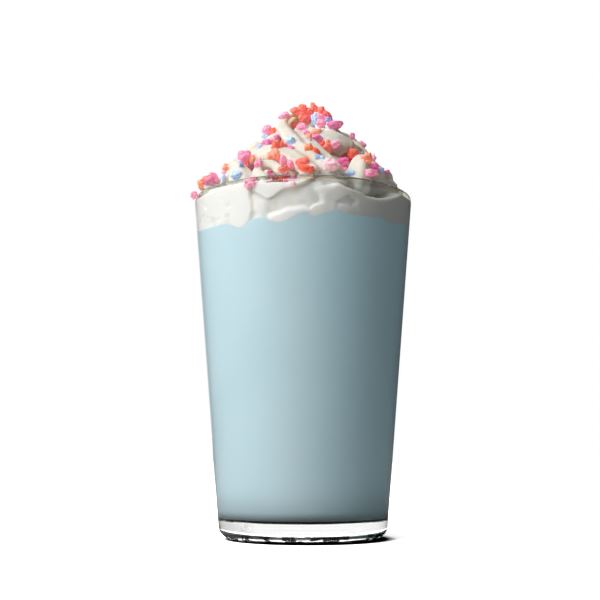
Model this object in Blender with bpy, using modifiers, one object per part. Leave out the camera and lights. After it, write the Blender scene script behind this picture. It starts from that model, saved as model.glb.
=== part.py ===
"""A milkshake in a plain tapered glass, topped with whipped cream and candy crumbs.

Metres, +Z up. The origin is the centre of the glass's foot, on the table, and the
viewer's side is -Y. Angles round the glass are counted from that side towards +X.
"""

import math
import random

import bmesh
import bpy
from mathutils import Matrix, Vector
from mathutils.bvhtree import BVHTree

MM = 0.001

# Glass: a tapered tumbler with a heavy floor and a shallow hollow under its foot
GLASS_HEIGHT = 128.1 * MM
RIM_RADIUS = 42.0 * MM
FOOT_RADIUS = 31.1 * MM
WALL = 2.1 * MM
FLOOR_THICKNESS = 7.0 * MM
HEEL_ROUND = 5.0 * MM
CORNER_ROUND = 4.0 * MM
HOLLOW_RADIUS = 21.0 * MM
HOLLOW_DEPTH = 0.9 * MM
HOLLOW_TOP = 0.9
TURN_STEPS = 64
CORNER_STEPS = 4
LIP_STEPS = 6
HEEL_STEPS = 5
SHARP_FROM = 40

# Room left between pieces that touch
GAP = 0.3 * MM

# Shake: fills the glass up to the uneven underside of the cream
SHAKE_LEVEL = 114.8 * MM
SHAKE_STEPS = 96
SHAKE_RINGS = (0.0, 0.4, 0.7, 0.8, 0.9, 1.0)
TONGUE_REACH = 12.0 * MM

# Cream tongues that hang into the shake at the wall: angle, drop in mm, half width in degrees
TONGUES = [
    (-85, 0.2, 10),
    (-55, 1.5, 14),
    (-35, 3.4, 5),
    (-13, 3.2, 6),
    (5, 1.6, 2.5),
    (18, -1.3, 4),
    (55, 1.0, 5),
]
BACK_TONGUES = 7
BACK_TONGUES_FROM, BACK_TONGUES_TO = 85, 270
TONGUE_SEED = 11

# Cream: a heap that is highest over the middle and meets the wall below the rim
HEAP_HEIGHT = 37.5 * MM
HEAP_POWER = 0.85
CORE_DEPTH = 4.0 * MM
CORE_TOP = 27.5 * MM
CORE_STEPS = 48
CORE_RINGS = 8
WALL_RECESS = 3.2 * MM
CREAM_BOTTOM = 106.0 * MM
CREAM_VOXEL = 1.5 * MM
CREAM_TRIANGLES = 4600
CREAM_SOFTENING = 2
ROOM_TOP = GLASS_HEIGHT + 60.0 * MM
FOLD_FLATNESS = 0.72
FOLD_SINK = 0.85
FOLD_CORNERS = 12
# Height on the axis that every fold faces away from
FOLD_AIM = GLASS_HEIGHT - 14.0 * MM

# Folds of the heap's front, each as (x, y, z, half width) in mm along its crest
FRONT_FOLDS = {
    "crown": [
        (4, -2, 156, 2.4), (3, -3, 160.5, 1.8), (-0.5, -3, 163, 1.8), (-4.5, -3.5, 163, 1.9),
        (-7.3, -5.5, 160, 2.5), (-7.2, -10, 156, 3.4), (-5.4, -16.5, 151.8, 3.9),
        (-2.2, -23.5, 146, 4.1), (1.6, -29, 141, 4.0), (5.4, -32.8, 136.6, 3.6), (9.9, -35.3, 132.6, 2.6),
    ],
    "crown_back": [
        (-5.5, 0.5, 156, 3.0), (-2.5, 0.8, 160.6, 3.0), (1.5, 0.5, 160.4, 3.0), (4.5, 0, 157, 3.0),
    ],
    "left_flank": [
        (-8, -3, 158, 2.6), (-11, -6.6, 154.6, 3.4), (-14, -9, 151, 3.8),
        (-17.2, -11, 146.4, 3.6), (-21, -12, 141.4, 2.6),
    ],
    "upper_right": [
        (-1, -8, 156, 3.0), (4, -10.5, 156, 3.8), (8.5, -12.5, 153.4, 4.8),
        (13, -12.8, 151, 5.2), (16.3, -12.6, 148.8, 4.6), (18, -13.4, 147, 2.8),
    ],
    "right_edge": [
        (9, 1, 157, 3.0), (16.5, -1, 155, 3.6), (21.6, -4.2, 151, 4.0),
        (25.2, -6.8, 146, 4.0), (27.6, -9, 140.5, 3.2),
    ],
    "below_crown": [
        (-16, -24, 140.6, 2.4), (-11.4, -26.2, 141.6, 3.2), (-6.9, -28.9, 140.2, 3.6),
        (-2.2, -33, 136.6, 3.6), (3.1, -37, 131.6, 3.0),
    ],
    "left_shoulder": [
        (-26, -14, 137, 2.4), (-22.6, -18.4, 140.4, 3.4), (-17.8, -20.4, 143, 4.2),
        (-13, -24.5, 142.4, 3.8), (-10, -28.5, 138.4, 2.6),
    ],
    "curl": [
        (-8.2, -36.6, 131.2, 1.8), (-11, -34.4, 134, 2.0), (-14.8, -33.4, 134.2, 2.0),
        (-16.8, -34.6, 131.2, 2.0), (-13.8, -37, 128.6, 1.8),
    ],
    "left_leaf": [
        (-23, -32.6, 123.5, 5.6), (-23.8, -31, 129.5, 5.2), (-25, -27, 134.4, 3.4), (-26.4, -22.5, 138.2, 1.2),
    ],
    "middle_leaf": [
        (8.6, -34.4, 123.5, 5.4), (8.8, -34.8, 130, 5.4), (9.7, -33, 134.6, 4.0), (10.6, -31, 137, 1.6),
    ],
    "right_leaf": [
        (18.4, -30, 127.5, 5.0), (19.6, -27.4, 134, 5.0), (20.6, -23.6, 139, 3.4), (21.2, -21.4, 141, 1.4),
    ],
    "right_slope": [
        (26, -14, 139, 3.4), (29, -16.5, 136, 3.8), (32.5, -14, 132.6, 3.6), (35.5, -8, 129.8, 3.0),
    ],
    "left_slope": [
        (-26, -16, 137.6, 3.0), (-30.5, -15, 134, 3.8), (-34.5, -12, 130.4, 3.8), (-37, -6, 127.4, 3.0),
    ],
}

# Tiers of folds round the heap's back: height in mm, number of folds, half width in mm
BACK_TIERS = [(135, 5, 4.6), (144.5, 4, 4.4), (153, 2, 3.8)]
BACK_FROM, BACK_TO = 62, 288
BACK_OVERLAP = 12
BACK_SHIFT = 8
BACK_RISE = (1.5, 4.5)
BACK_DROP = (5, 8)
BACK_SEED = 23

# Cream pressed flat against the wall: angle, height, half width and half height in mm
FRONT_SMEARS = [
    (-84, 120.5, 11, 8.5), (-66, 120.5, 12, 9), (-48, 119.5, 12, 9.5), (-36, 116.5, 6.5, 8),
    (-14, 125.5, 9.5, 3.4), (-18.5, 122.5, 3.6, 3.6), (-11, 113.6, 8.5, 4.6),
    (7, 116.6, 5, 4.6), (17, 121.4, 9, 5.6), (28, 121.8, 7.5, 5.2), (24, 117, 6.4, 3.6),
    (37, 118, 8, 5), (47, 119.4, 8, 5.6), (57, 118.6, 8, 7), (71, 120.5, 9, 6.6), (86, 120, 9, 7),
]
BACK_SMEARS = 10
BACK_SMEARS_FROM, BACK_SMEARS_TO = 98, 276
SMEAR_SEED = 5
SMEAR_DEPTH = 4.0 * MM
SMEAR_INSET = 2.4 * MM

# Candy crumbs
CRUMB_COUNT = 62
CRUMB_CORNERS = 13
CRUMB_LARGEST = 6.0 * MM
CRUMB_SMALLEST = 3.2 * MM
CRUMB_SINK = 0.18
CRUMB_SPACING = 0.42
CRUMB_SEED = 7
CRUMB_TRIES = 3
GOLDEN_ANGLE = 137.508
CROWN_CRUMBS = [(-0.6, 165, 6.4), (3.6, 164, 5.8), (7.4, 160.5, 5.6), (12.4, 158.5, 5.4), (-8.6, 163, 4.2)]


def outer_radius(z):
    """Radius of the glass's straight outer side at a height."""
    return FOOT_RADIUS + (RIM_RADIUS - FOOT_RADIUS) * z / GLASS_HEIGHT


def inner_radius(z):
    """Radius of the glass's inner side at a height."""
    return outer_radius(z) - WALL


def heap_radius(z):
    """Radius of the cream heap's outside at a height above the rim."""
    share = max(0.0, 1.0 - max(0.0, z - GLASS_HEIGHT) / HEAP_HEIGHT)
    return RIM_RADIUS * share**HEAP_POWER


def at_angle(degrees, radius, z):
    """Point at an angle from the viewer's side, a radius and a height."""
    angle = math.radians(degrees)
    return Vector((radius * math.sin(angle), -radius * math.cos(angle), z))


def arc(centre_r, centre_z, radius, start, end, steps):
    """Points of a rounding in a turned profile, from start to end in degrees."""
    points = []
    for step in range(steps + 1):
        angle = math.radians(start + (end - start) * step / steps)
        points.append((centre_r + radius * math.cos(angle), centre_z + radius * math.sin(angle)))
    return points


def make_material(name, colour, roughness, transmission=0.0):
    """Principled material of one even colour."""
    material = bpy.data.materials.new(name)
    material.use_nodes = True
    shader = material.node_tree.nodes["Principled BSDF"]
    shader.inputs["Base Color"].default_value = (*colour, 1.0)
    shader.inputs["Roughness"].default_value = roughness
    shader.inputs["Transmission Weight"].default_value = transmission
    return material


def make_collection(name):
    """New collection in the scene."""
    collection = bpy.data.collections.new(name)
    bpy.context.scene.collection.children.link(collection)
    return collection


def add_mesh(name, mesh, collection):
    """Object that shows a mesh."""
    obj = bpy.data.objects.new(name, mesh)
    collection.objects.link(obj)
    return obj


def baked(obj):
    """Mesh of an object with its modifiers applied, in world space."""
    depsgraph = bpy.context.evaluated_depsgraph_get()
    mesh = bpy.data.meshes.new_from_object(obj.evaluated_get(depsgraph))
    mesh.transform(obj.matrix_world)
    return mesh


def replace_by(obj, mesh):
    """Give an object a finished mesh in place of its own mesh and modifiers."""
    obj.modifiers.clear()
    obj.data = mesh
    obj.matrix_world = Matrix.Identity(4)


def turned(name, profile, steps, collection):
    """Solid turned about Z from a profile that runs down its outer side."""
    mesh = bpy.data.meshes.new(name)
    edges = [(i, i + 1) for i in range(len(profile) - 1)]
    mesh.from_pydata([(r, 0.0, z) for r, z in profile], edges, [])
    obj = add_mesh(name, mesh, collection)
    screw = obj.modifiers.new("turn", "SCREW")
    screw.steps = steps
    screw.render_steps = steps
    screw.use_merge_vertices = True
    screw.merge_threshold = 0.00001
    replace_by(obj, baked(obj))
    return obj


def build_glass(collection):
    """Tumbler: inside floor, inner side, rounded lip, outer side, heel, foot ring and hollow."""
    lip_z = GLASS_HEIGHT - WALL / 2
    corner_r = inner_radius(FLOOR_THICKNESS + CORNER_ROUND) - CORNER_ROUND
    heel_r = outer_radius(HEEL_ROUND) - HEEL_ROUND
    profile = [(0.0, FLOOR_THICKNESS)]
    profile += arc(corner_r, FLOOR_THICKNESS + CORNER_ROUND, CORNER_ROUND, -90, 0, CORNER_STEPS)
    profile += arc(outer_radius(lip_z) - WALL / 2, lip_z, WALL / 2, 180, 0, LIP_STEPS)
    profile += arc(heel_r, HEEL_ROUND, HEEL_ROUND, 0, -90, HEEL_STEPS)
    profile += [(HOLLOW_RADIUS, 0.0), (HOLLOW_RADIUS * HOLLOW_TOP, HOLLOW_DEPTH), (0.0, HOLLOW_DEPTH)]
    glass = turned("glass", profile, TURN_STEPS, collection)
    glass.data.materials.append(make_material("clear glass", (0.92, 0.95, 0.95), 0.03, 0.9))
    glass.data.shade_smooth()
    glass.data.set_sharp_from_angle(angle=math.radians(SHARP_FROM))
    return glass


def all_tongues():
    """Tongues of the front by hand, and of the back by a seeded rule."""
    draw = random.Random(TONGUE_SEED)
    tongues = list(TONGUES)
    span = (BACK_TONGUES_TO - BACK_TONGUES_FROM) / BACK_TONGUES
    for number in range(BACK_TONGUES):
        centre = BACK_TONGUES_FROM + span * (number + 0.5) + draw.uniform(-5, 5)
        tongues.append((centre, draw.uniform(0.5, 3.2), draw.uniform(5, 9)))
    return tongues


def boundary_drop(x, y, tongues):
    """How far the cream hangs below its level at a place in the glass."""
    angle = math.degrees(math.atan2(x, -y))
    drop = 0.0
    for centre, depth, half_width in tongues:
        away = (angle - centre + 180) % 360 - 180
        drop += depth * MM * math.exp(-((away / half_width) ** 2))
    edge = inner_radius(SHAKE_LEVEL)
    near_wall = min(1.0, max(0.0, (math.hypot(x, y) - (edge - TONGUE_REACH)) / TONGUE_REACH))
    return drop * near_wall * near_wall * (3 - 2 * near_wall)


def build_shake(name, collection, lift=0.0, grow=0.0):
    """Shake up to the cream, or a copy raised by lift and widened by grow that cuts the cream."""
    corner_r = inner_radius(FLOOR_THICKNESS + CORNER_ROUND) - CORNER_ROUND
    edge = inner_radius(SHAKE_LEVEL) - GAP
    profile = [(edge * share, SHAKE_LEVEL) for share in SHAKE_RINGS]
    profile += arc(corner_r, FLOOR_THICKNESS + CORNER_ROUND, CORNER_ROUND - GAP, 0, -90, CORNER_STEPS)
    profile.append((0.0, FLOOR_THICKNESS + GAP))
    shake = turned(name, profile, SHAKE_STEPS, collection)
    tongues = all_tongues()
    for vertex in shake.data.vertices:
        x, y, z = vertex.co
        if z > SHAKE_LEVEL - MM / 10:
            new_z = z - boundary_drop(x, y, tongues) + lift
            radius = math.hypot(x, y)
            if radius > edge - MM / 10:
                scale = (inner_radius(new_z) - GAP + grow) / radius
                x, y = x * scale, y * scale
            vertex.co = (x, y, new_z)
        elif grow:
            spread = 1 + grow / math.hypot(x, y) if x or y else 1
            vertex.co = (x * spread, y * spread, z)
    return shake


def cream_core(collection):
    """Plain heap under the folds, a little smaller than the cream's outside."""
    rim_inside = inner_radius(GLASS_HEIGHT) - WALL_RECESS
    profile = [(0.0, GLASS_HEIGHT + CORE_TOP)]
    for step in range(1, CORE_RINGS + 1):
        z = GLASS_HEIGHT + CORE_TOP * (1 - step / CORE_RINGS)
        profile.append((min(rim_inside, heap_radius(z + CORE_DEPTH) - CORE_DEPTH), z))
    profile.append((inner_radius(CREAM_BOTTOM) - WALL_RECESS, CREAM_BOTTOM))
    profile.append((0.0, CREAM_BOTTOM))
    return turned("core", profile, CORE_STEPS, collection)


def fold_profile(collection):
    """Flat oval, one unit of half width, that every fold is swept from."""
    data = bpy.data.curves.new("fold profile", "CURVE")
    data.dimensions = "2D"
    spline = data.splines.new("POLY")
    spline.points.add(FOLD_CORNERS - 1)
    for number, point in enumerate(spline.points):
        angle = math.tau * number / FOLD_CORNERS
        point.co = (math.cos(angle), FOLD_FLATNESS * math.sin(angle), 0.0, 1.0)
    spline.use_cyclic_u = True
    profile = bpy.data.objects.new("fold profile", data)
    collection.objects.link(profile)
    profile.hide_render = True
    profile.display_type = "WIRE"
    return profile


def heap_normal(point):
    """Direction out of the heap at a point on it."""
    return (point - Vector((0.0, 0.0, FOLD_AIM))).normalized()


def lean(before, after, normal):
    """Tilt that turns a swept oval's thin side from upright to the heap's normal."""
    tangent = (after - before).normalized()
    up = Vector((0.0, 0.0, 1.0))
    up = (up - tangent * up.dot(tangent)).normalized()
    out = (normal - tangent * normal.dot(tangent)).normalized()
    return math.atan2(tangent.dot(up.cross(out)), up.dot(out))


def sweep_fold(name, points, profile, collection):
    """Closed fold of cream swept along its crest, its flat side on the heap."""
    places = []
    for x, y, z, half_width in points:
        place = Vector((x, y, z)) * MM
        thickness = half_width * FOLD_FLATNESS * MM
        places.append((place - heap_normal(place) * thickness * FOLD_SINK, half_width * MM))
    data = bpy.data.curves.new(name, "CURVE")
    data.dimensions = "3D"
    data.twist_mode = "Z_UP"
    data.resolution_u = 5
    data.bevel_mode = "OBJECT"
    data.bevel_object = profile
    data.use_fill_caps = True
    spline = data.splines.new("BEZIER")
    spline.bezier_points.add(len(places) - 1)
    for number, (place, half_width) in enumerate(places):
        knot = spline.bezier_points[number]
        knot.co = place
        knot.handle_left_type = knot.handle_right_type = "AUTO"
        knot.radius = half_width
        before = places[max(0, number - 1)][0]
        after = places[min(len(places) - 1, number + 1)][0]
        knot.tilt = lean(before, after, heap_normal(place))
    curve = bpy.data.objects.new(name, data)
    collection.objects.link(curve)
    mesh = baked(curve)
    bm = bmesh.new()
    bm.from_mesh(mesh)
    bmesh.ops.remove_doubles(bm, verts=bm.verts, dist=MM / 100)
    bmesh.ops.recalc_face_normals(bm, faces=bm.faces)
    bm.to_mesh(mesh)
    bm.free()
    bpy.data.objects.remove(curve)
    return add_mesh(name, mesh, collection)


def back_folds():
    """Folds round the back: tiers that each sweep part of a turn and sink as they go."""
    draw = random.Random(BACK_SEED)
    folds = {}
    for tier, (height, count, half_width) in enumerate(BACK_TIERS):
        span = (BACK_TO - BACK_FROM) / count
        for number in range(count):
            start = BACK_FROM + span * number + draw.uniform(-BACK_SHIFT, BACK_SHIFT)
            top = height + draw.uniform(*BACK_RISE)
            drop = draw.uniform(*BACK_DROP)
            points = []
            for share in (0.0, 0.3, 0.65, 1.0):
                z = top - drop * share
                radius = heap_radius(z * MM)
                place = at_angle(start + (span + BACK_OVERLAP) * share, radius, z * MM) / MM
                swell = half_width * (0.65 + 0.5 * math.sin(math.pi * (0.15 + 0.7 * share)))
                points.append((*place, swell))
            folds[f"back_{tier}_{number}"] = points
    return folds


def all_smears():
    """Patches against the wall: the front's by hand and the back's by a seeded rule."""
    draw = random.Random(SMEAR_SEED)
    smears = list(FRONT_SMEARS)
    span = (BACK_SMEARS_TO - BACK_SMEARS_FROM) / BACK_SMEARS
    for number in range(BACK_SMEARS):
        angle = BACK_SMEARS_FROM + span * (number + 0.5) + draw.uniform(-4, 4)
        smears.append((angle, draw.uniform(118, 121), draw.uniform(7, 11), draw.uniform(5, 8.5)))
    return smears


def add_smear(name, angle, height, half_width, half_height, collection):
    """Rounded lump of cream that bulges a little past the inner wall."""
    bm = bmesh.new()
    bmesh.ops.create_uvsphere(bm, u_segments=16, v_segments=10, radius=1.0)
    size = Matrix.Diagonal((half_width * MM, SMEAR_DEPTH, half_height * MM, 1.0))
    place = at_angle(angle, inner_radius(height * MM) - SMEAR_INSET, height * MM)
    turn = Matrix.Rotation(math.radians(angle), 4, "Z")
    bm.transform(Matrix.Translation(place) @ turn @ size)
    mesh = bpy.data.meshes.new(name)
    bm.to_mesh(mesh)
    bm.free()
    return add_mesh(name, mesh, collection)


def keep_outer_shell(mesh):
    """Drop loose scraps and the shells of sealed hollows, so that one body is left."""
    bm = bmesh.new()
    bm.from_mesh(mesh)
    waiting = set(bm.verts)
    shells = []
    while waiting:
        front = [waiting.pop()]
        shell = list(front)
        while front:
            for edge in front.pop().link_edges:
                for vertex in edge.verts:
                    if vertex in waiting:
                        waiting.remove(vertex)
                        front.append(vertex)
                        shell.append(vertex)
        shells.append(shell)
    shells.sort(key=len)
    for shell in shells[:-1]:
        bmesh.ops.delete(bm, geom=shell, context="VERTS")
    bm.to_mesh(mesh)
    bm.free()


def merge_lumps(name, lumps, collection):
    """One soft body out of overlapping lumps."""
    bm = bmesh.new()
    for lump in lumps:
        bm.from_mesh(lump.data)
        bpy.data.objects.remove(lump)
    mesh = bpy.data.meshes.new(name)
    bm.to_mesh(mesh)
    bm.free()
    heap = add_mesh(name, mesh, collection)
    remesh = heap.modifiers.new("one skin", "REMESH")
    remesh.mode = "VOXEL"
    remesh.voxel_size = CREAM_VOXEL
    soften = heap.modifiers.new("soften", "SMOOTH")
    soften.factor = 0.5
    soften.iterations = CREAM_SOFTENING
    replace_by(heap, baked(heap))
    keep_outer_shell(heap.data)
    thin = heap.modifiers.new("fewer faces", "DECIMATE")
    heap.data.calc_loop_triangles()
    thin.ratio = min(1.0, CREAM_TRIANGLES / len(heap.data.loop_triangles))
    replace_by(heap, baked(heap))
    return heap


def cream_room(collection):
    """Space that the cream may fill: inside the wall, and free above the rim."""
    over_rim = GLASS_HEIGHT + 1.5 * MM
    rim_inside = inner_radius(GLASS_HEIGHT) - GAP
    free_radius = RIM_RADIUS + 4 * MM
    bottom = CREAM_BOTTOM + 2 * MM
    profile = [
        (0.0, ROOM_TOP), (free_radius, ROOM_TOP), (free_radius, over_rim), (rim_inside, GLASS_HEIGHT + GAP),
        (inner_radius(bottom) - GAP, bottom), (0.0, bottom),
    ]
    return turned("cream room", profile, SHAKE_STEPS, collection)


def add_boolean(obj, operation, solver="EXACT", **operand):
    """Boolean modifier that joins or cuts an object, applied at once."""
    boolean = obj.modifiers.new(operation.lower(), "BOOLEAN")
    boolean.operation = operation
    boolean.solver = solver
    for setting, value in operand.items():
        setattr(boolean, setting, value)
    replace_by(obj, baked(obj))


def add_crumb(number, place, normal, size, draw, collection):
    """Angular crumb of candy, lying on the cream with its thin side out."""
    bm = bmesh.new()
    for _ in range(CRUMB_CORNERS):
        corner = Vector([draw.gauss(0, 1) for _ in range(3)]).normalized()
        bm.verts.new(corner * draw.uniform(0.88, 1.08))
    hull = bmesh.ops.convex_hull(bm, input=bm.verts)
    bmesh.ops.delete(bm, geom=hull["geom_interior"], context="VERTS")
    bmesh.ops.recalc_face_normals(bm, faces=bm.faces)
    form = Matrix.Diagonal((size / 2, size / 2 * draw.uniform(0.7, 0.9), size / 2 * draw.uniform(0.6, 0.8), 1.0))
    spin = Matrix.Rotation(draw.uniform(0, math.tau), 4, "Z")
    face_out = normal.to_track_quat("Z", "X").to_matrix().to_4x4()
    centre = place + normal * size * (0.5 * 0.7 - CRUMB_SINK)
    bm.transform(Matrix.Translation(centre) @ face_out @ spin @ form)
    mesh = bpy.data.meshes.new(f"crumb {number}")
    bm.to_mesh(mesh)
    bm.free()
    return add_mesh(f"crumb {number}", mesh, collection)


def halved(step):
    """Van der Corput number of a step, which spreads steps evenly from 0 to 1."""
    share, part = 0.0, 0.5
    while step:
        share += part * (step % 2)
        step //= 2
        part /= 2
    return share


def scatter_crumbs(cream, collection):
    """Crumbs over the heap: a few on its top, then the others evenly round it, largest first."""
    draw = random.Random(CRUMB_SEED)
    bm = bmesh.new()
    bm.from_mesh(cream.data)
    surface = BVHTree.FromBMesh(bm)
    number = 0
    for x, z, size in CROWN_CRUMBS:
        place, normal, _, _ = surface.find_nearest(Vector((x, -4, z)) * MM)
        add_crumb(number, place, normal, size * MM, draw, collection)
        number += 1
    taken = []
    for step in range(CRUMB_COUNT * CRUMB_TRIES):
        if number >= CRUMB_COUNT:
            break
        share = halved(step) ** 0.8
        angle = GOLDEN_ANGLE * step + draw.uniform(-6, 6)
        z = GLASS_HEIGHT + HEAP_HEIGHT * (0.05 + 0.8 * (1 - share)) + draw.uniform(-1, 1) * MM
        outside = at_angle(angle, RIM_RADIUS * 2, z)
        inward = (Vector((0, 0, z)) - outside).normalized()
        place, normal, _, _ = surface.ray_cast(outside, inward)
        size = CRUMB_LARGEST + (CRUMB_SMALLEST - CRUMB_LARGEST) * number / CRUMB_COUNT
        if place is None:
            continue
        reach = math.hypot(place.x, place.y) + size / 2
        near_lip = place.z < GLASS_HEIGHT + size and reach > inner_radius(GLASS_HEIGHT) - 2 * GAP
        crowded = any(
            (place - other).length < (size + other_size) * CRUMB_SPACING for other, other_size in taken
        )
        if near_lip or crowded:
            continue
        taken.append((place, size))
        add_crumb(number, place, normal, size, draw, collection)
        number += 1
    bm.free()


def build_cream(collection, cutters):
    """Whipped cream with its folds, cut to the glass and the shake, with the crumbs fused on."""
    profile = fold_profile(cutters)
    lumps = [cream_core(collection)]
    for name, points in {**FRONT_FOLDS, **back_folds()}.items():
        lumps.append(sweep_fold(name, points, profile, collection))
    for number, (angle, height, half_width, half_height) in enumerate(all_smears()):
        lumps.append(add_smear(f"smear {number}", angle, height, half_width, half_height, collection))
    cream = merge_lumps("cream", lumps, collection)
    bpy.data.objects.remove(profile)

    room = cream_room(cutters)
    add_boolean(cream, "INTERSECT", object=room)
    drink = build_shake("shake cutter", cutters, lift=GAP, grow=2 * MM)
    add_boolean(cream, "DIFFERENCE", object=drink)
    keep_outer_shell(cream.data)

    crumbs = make_collection("crumbs")
    scatter_crumbs(cream, crumbs)
    add_boolean(cream, "UNION", "MANIFOLD", operand_type="COLLECTION", collection=crumbs)
    keep_outer_shell(cream.data)
    for obj in [*crumbs.objects, room, drink]:
        bpy.data.objects.remove(obj)
    bpy.data.collections.remove(crumbs)
    cream.data.materials.clear()
    cream.data.materials.append(make_material("whipped cream", (0.93, 0.91, 0.86), 0.45))
    return cream


def main():
    """Clear the scene and build the glass, the shake and the cream."""
    for obj in list(bpy.data.objects):
        bpy.data.objects.remove(obj, do_unlink=True)
    parts = make_collection("milkshake")
    cutters = make_collection("cutters")
    build_glass(parts)
    shake = build_shake("shake", parts)
    shake.data.materials.append(make_material("blue shake", (0.42, 0.66, 0.74), 0.4))
    build_cream(parts, cutters)


main()
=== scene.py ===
"""Looks of a milkshake in a plain tapered glass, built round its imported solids.

Metres, +Z up, -Y towards the viewer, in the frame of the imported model. Places on the heap of
cream and on the glass are written in millimetres, as in the part's source.
"""

import logging
import math
import random
from dataclasses import dataclass, field
from enum import Enum

import bmesh
import bpy
import numpy as np
from mathutils import Matrix, Vector, noise
from mathutils.bvhtree import BVHTree


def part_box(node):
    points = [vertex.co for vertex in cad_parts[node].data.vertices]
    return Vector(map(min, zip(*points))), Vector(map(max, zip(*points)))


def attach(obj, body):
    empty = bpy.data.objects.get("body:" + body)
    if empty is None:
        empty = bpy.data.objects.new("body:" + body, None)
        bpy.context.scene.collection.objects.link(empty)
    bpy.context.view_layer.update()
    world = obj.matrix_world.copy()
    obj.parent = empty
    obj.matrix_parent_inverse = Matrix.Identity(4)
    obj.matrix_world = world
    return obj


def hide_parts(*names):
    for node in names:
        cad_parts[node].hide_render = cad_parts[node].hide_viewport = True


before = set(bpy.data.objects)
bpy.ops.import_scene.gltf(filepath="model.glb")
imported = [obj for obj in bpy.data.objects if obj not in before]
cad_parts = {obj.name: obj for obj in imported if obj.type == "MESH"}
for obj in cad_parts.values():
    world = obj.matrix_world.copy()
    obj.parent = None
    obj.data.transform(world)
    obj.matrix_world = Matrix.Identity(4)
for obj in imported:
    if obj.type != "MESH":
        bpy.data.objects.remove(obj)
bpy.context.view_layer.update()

MM = 0.001
BODY = "root"
log = logging.getLogger("milkshake")

Colour = tuple[float, float, float]
Point = tuple[float, float, float]
Span = tuple[float, float]
Effects = dict[str, bpy.types.NodeTree]
BLACK: Colour = (0.0, 0.0, 0.0)
WHITE: Colour = (1.0, 1.0, 1.0)


class Candy(Enum):
    """Colours of the candy crumbs, as linear base colours."""

    CORAL = (1.0, 0.135, 0.07)
    ORANGE = (1.0, 0.30, 0.15)
    RED = (0.85, 0.06, 0.045)
    PINK = (1.0, 0.34, 0.52)
    MAGENTA = (0.80, 0.16, 0.38)
    ROSE = (1.0, 0.58, 0.64)
    SKY = (0.45, 0.66, 0.95)
    VIOLET = (0.30, 0.36, 0.72)


# Mesh making


def show_mesh(name: str, points: np.ndarray, faces: list) -> bpy.types.Object:
    """Put a new smooth mesh in the scene.

    Args:
        name: Name of the object and its mesh.
        points: Corners, one row each.
        faces: Corner numbers of each face.

    Returns:
        The object that shows the mesh.
    """
    mesh = bpy.data.meshes.new(name)
    mesh.from_pydata([tuple(p) for p in points], [], faces)
    mesh.validate()
    mesh.shade_smooth()
    obj = bpy.data.objects.new(name, mesh)
    bpy.context.scene.collection.objects.link(obj)
    return obj


def arc(centre: Span, radius: float, start: float, end: float, steps: int) -> list:
    """Points of a rounding in a turned profile, round a centre and between two angles in degrees."""
    angles = np.radians(np.linspace(start, end, steps + 1))
    return [(centre[0] + radius * math.cos(a), centre[1] + radius * math.sin(a)) for a in angles]


def quads(rings: int, sides: int, first: int = 0) -> list:
    """Faces between rings of corners, which are numbered from first and follow each other."""
    starts = [(first + ring * sides, i, (i + 1) % sides) for ring in range(rings - 1) for i in range(sides)]
    return [(a + i, a + sides + i, a + sides + j, a + j) for a, i, j in starts]


def turn(name: str, profile: list, steps: int) -> bpy.types.Object:
    """Turn a profile about Z, from a first point on the axis down its outer side to a last one on it.

    Args:
        name: Name of the object.
        profile: Pairs of radius and height.
        steps: Number of sides.

    Returns:
        The closed turned object.
    """
    angles = np.arange(steps) * math.tau / steps
    rings = profile[1:-1]
    points = [(0.0, 0.0, profile[0][1]), (0.0, 0.0, profile[-1][1])]
    for radius, z in rings:
        points += [(radius * math.cos(a), radius * math.sin(a), z) for a in angles]
    faces = quads(len(rings), steps, 2)
    last = 2 + (len(rings) - 1) * steps
    for i in range(steps):
        j = (i + 1) % steps
        faces += [(0, 2 + i, 2 + j), (1, last + j, last + i)]
    return show_mesh(name, np.array(points), faces)


def between(a: np.ndarray, b: np.ndarray, c: np.ndarray, d: np.ndarray, t: float) -> np.ndarray:
    """Point of a smooth curve through four corners, at a share of the stretch from b to c."""
    square, cubic = 2 * a - 5 * b + 4 * c - d, -a + 3 * b - 3 * c + d
    return 0.5 * (2 * b + (c - a) * t + square * t**2 + cubic * t**3)


def rounded(corners: np.ndarray, steps: int = 6) -> np.ndarray:
    """Round a closed outline by a smooth curve through its corners.

    Args:
        corners: The corners, one row each.
        steps: New points between two corners.

    Returns:
        The points of the smooth outline.
    """
    a, b, c, d = (np.roll(corners, shift, axis=0) for shift in (1, 0, -1, -2))
    parts = [between(a, b, c, d, t) for t in np.arange(steps) / steps]
    return np.stack(parts, axis=1).reshape(-1, 2)


def outline_distance(x: np.ndarray, y: np.ndarray, corners: np.ndarray) -> tuple[np.ndarray, np.ndarray]:
    """Find which points lie inside a closed outline, and how far all are from it.

    Args:
        x: First coordinate of the points.
        y: Second coordinate of the points.
        corners: Corners of the outline.

    Returns:
        Whether each point is inside, and its distance from the outline.
    """
    inside = np.zeros(len(x), bool)
    away = np.full(len(x), np.inf)
    for (x0, y0), (x1, y1) in zip(corners, np.roll(corners, -1, axis=0)):
        along_x, along_y = x1 - x0, y1 - y0
        share = ((x - x0) * along_x + (y - y0) * along_y) / max(along_x**2 + along_y**2, 1e-12)
        share = np.clip(share, 0, 1)
        away = np.minimum(away, np.hypot(x - x0 - share * along_x, y - y0 - share * along_y))
        if y0 != y1:
            crosses = ((y0 > y) != (y1 > y)) & (x < along_x * (y - y0) / along_y + x0)
            inside ^= crosses
    return inside, away


def at_angle(degrees: float, radius: float, z: float) -> Vector:
    """Point at an angle from the viewer's side towards +X, a radius and a height."""
    angle = math.radians(degrees)
    return Vector((radius * math.sin(angle), -radius * math.cos(angle), z))


def around(degrees: np.ndarray, radii: np.ndarray, heights: np.ndarray) -> np.ndarray:
    """Points at angles from the viewer's side towards +X, one row each."""
    turned = np.radians(degrees)
    return np.stack([radii * np.sin(turned), -radii * np.cos(turned), heights], axis=1)


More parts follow.
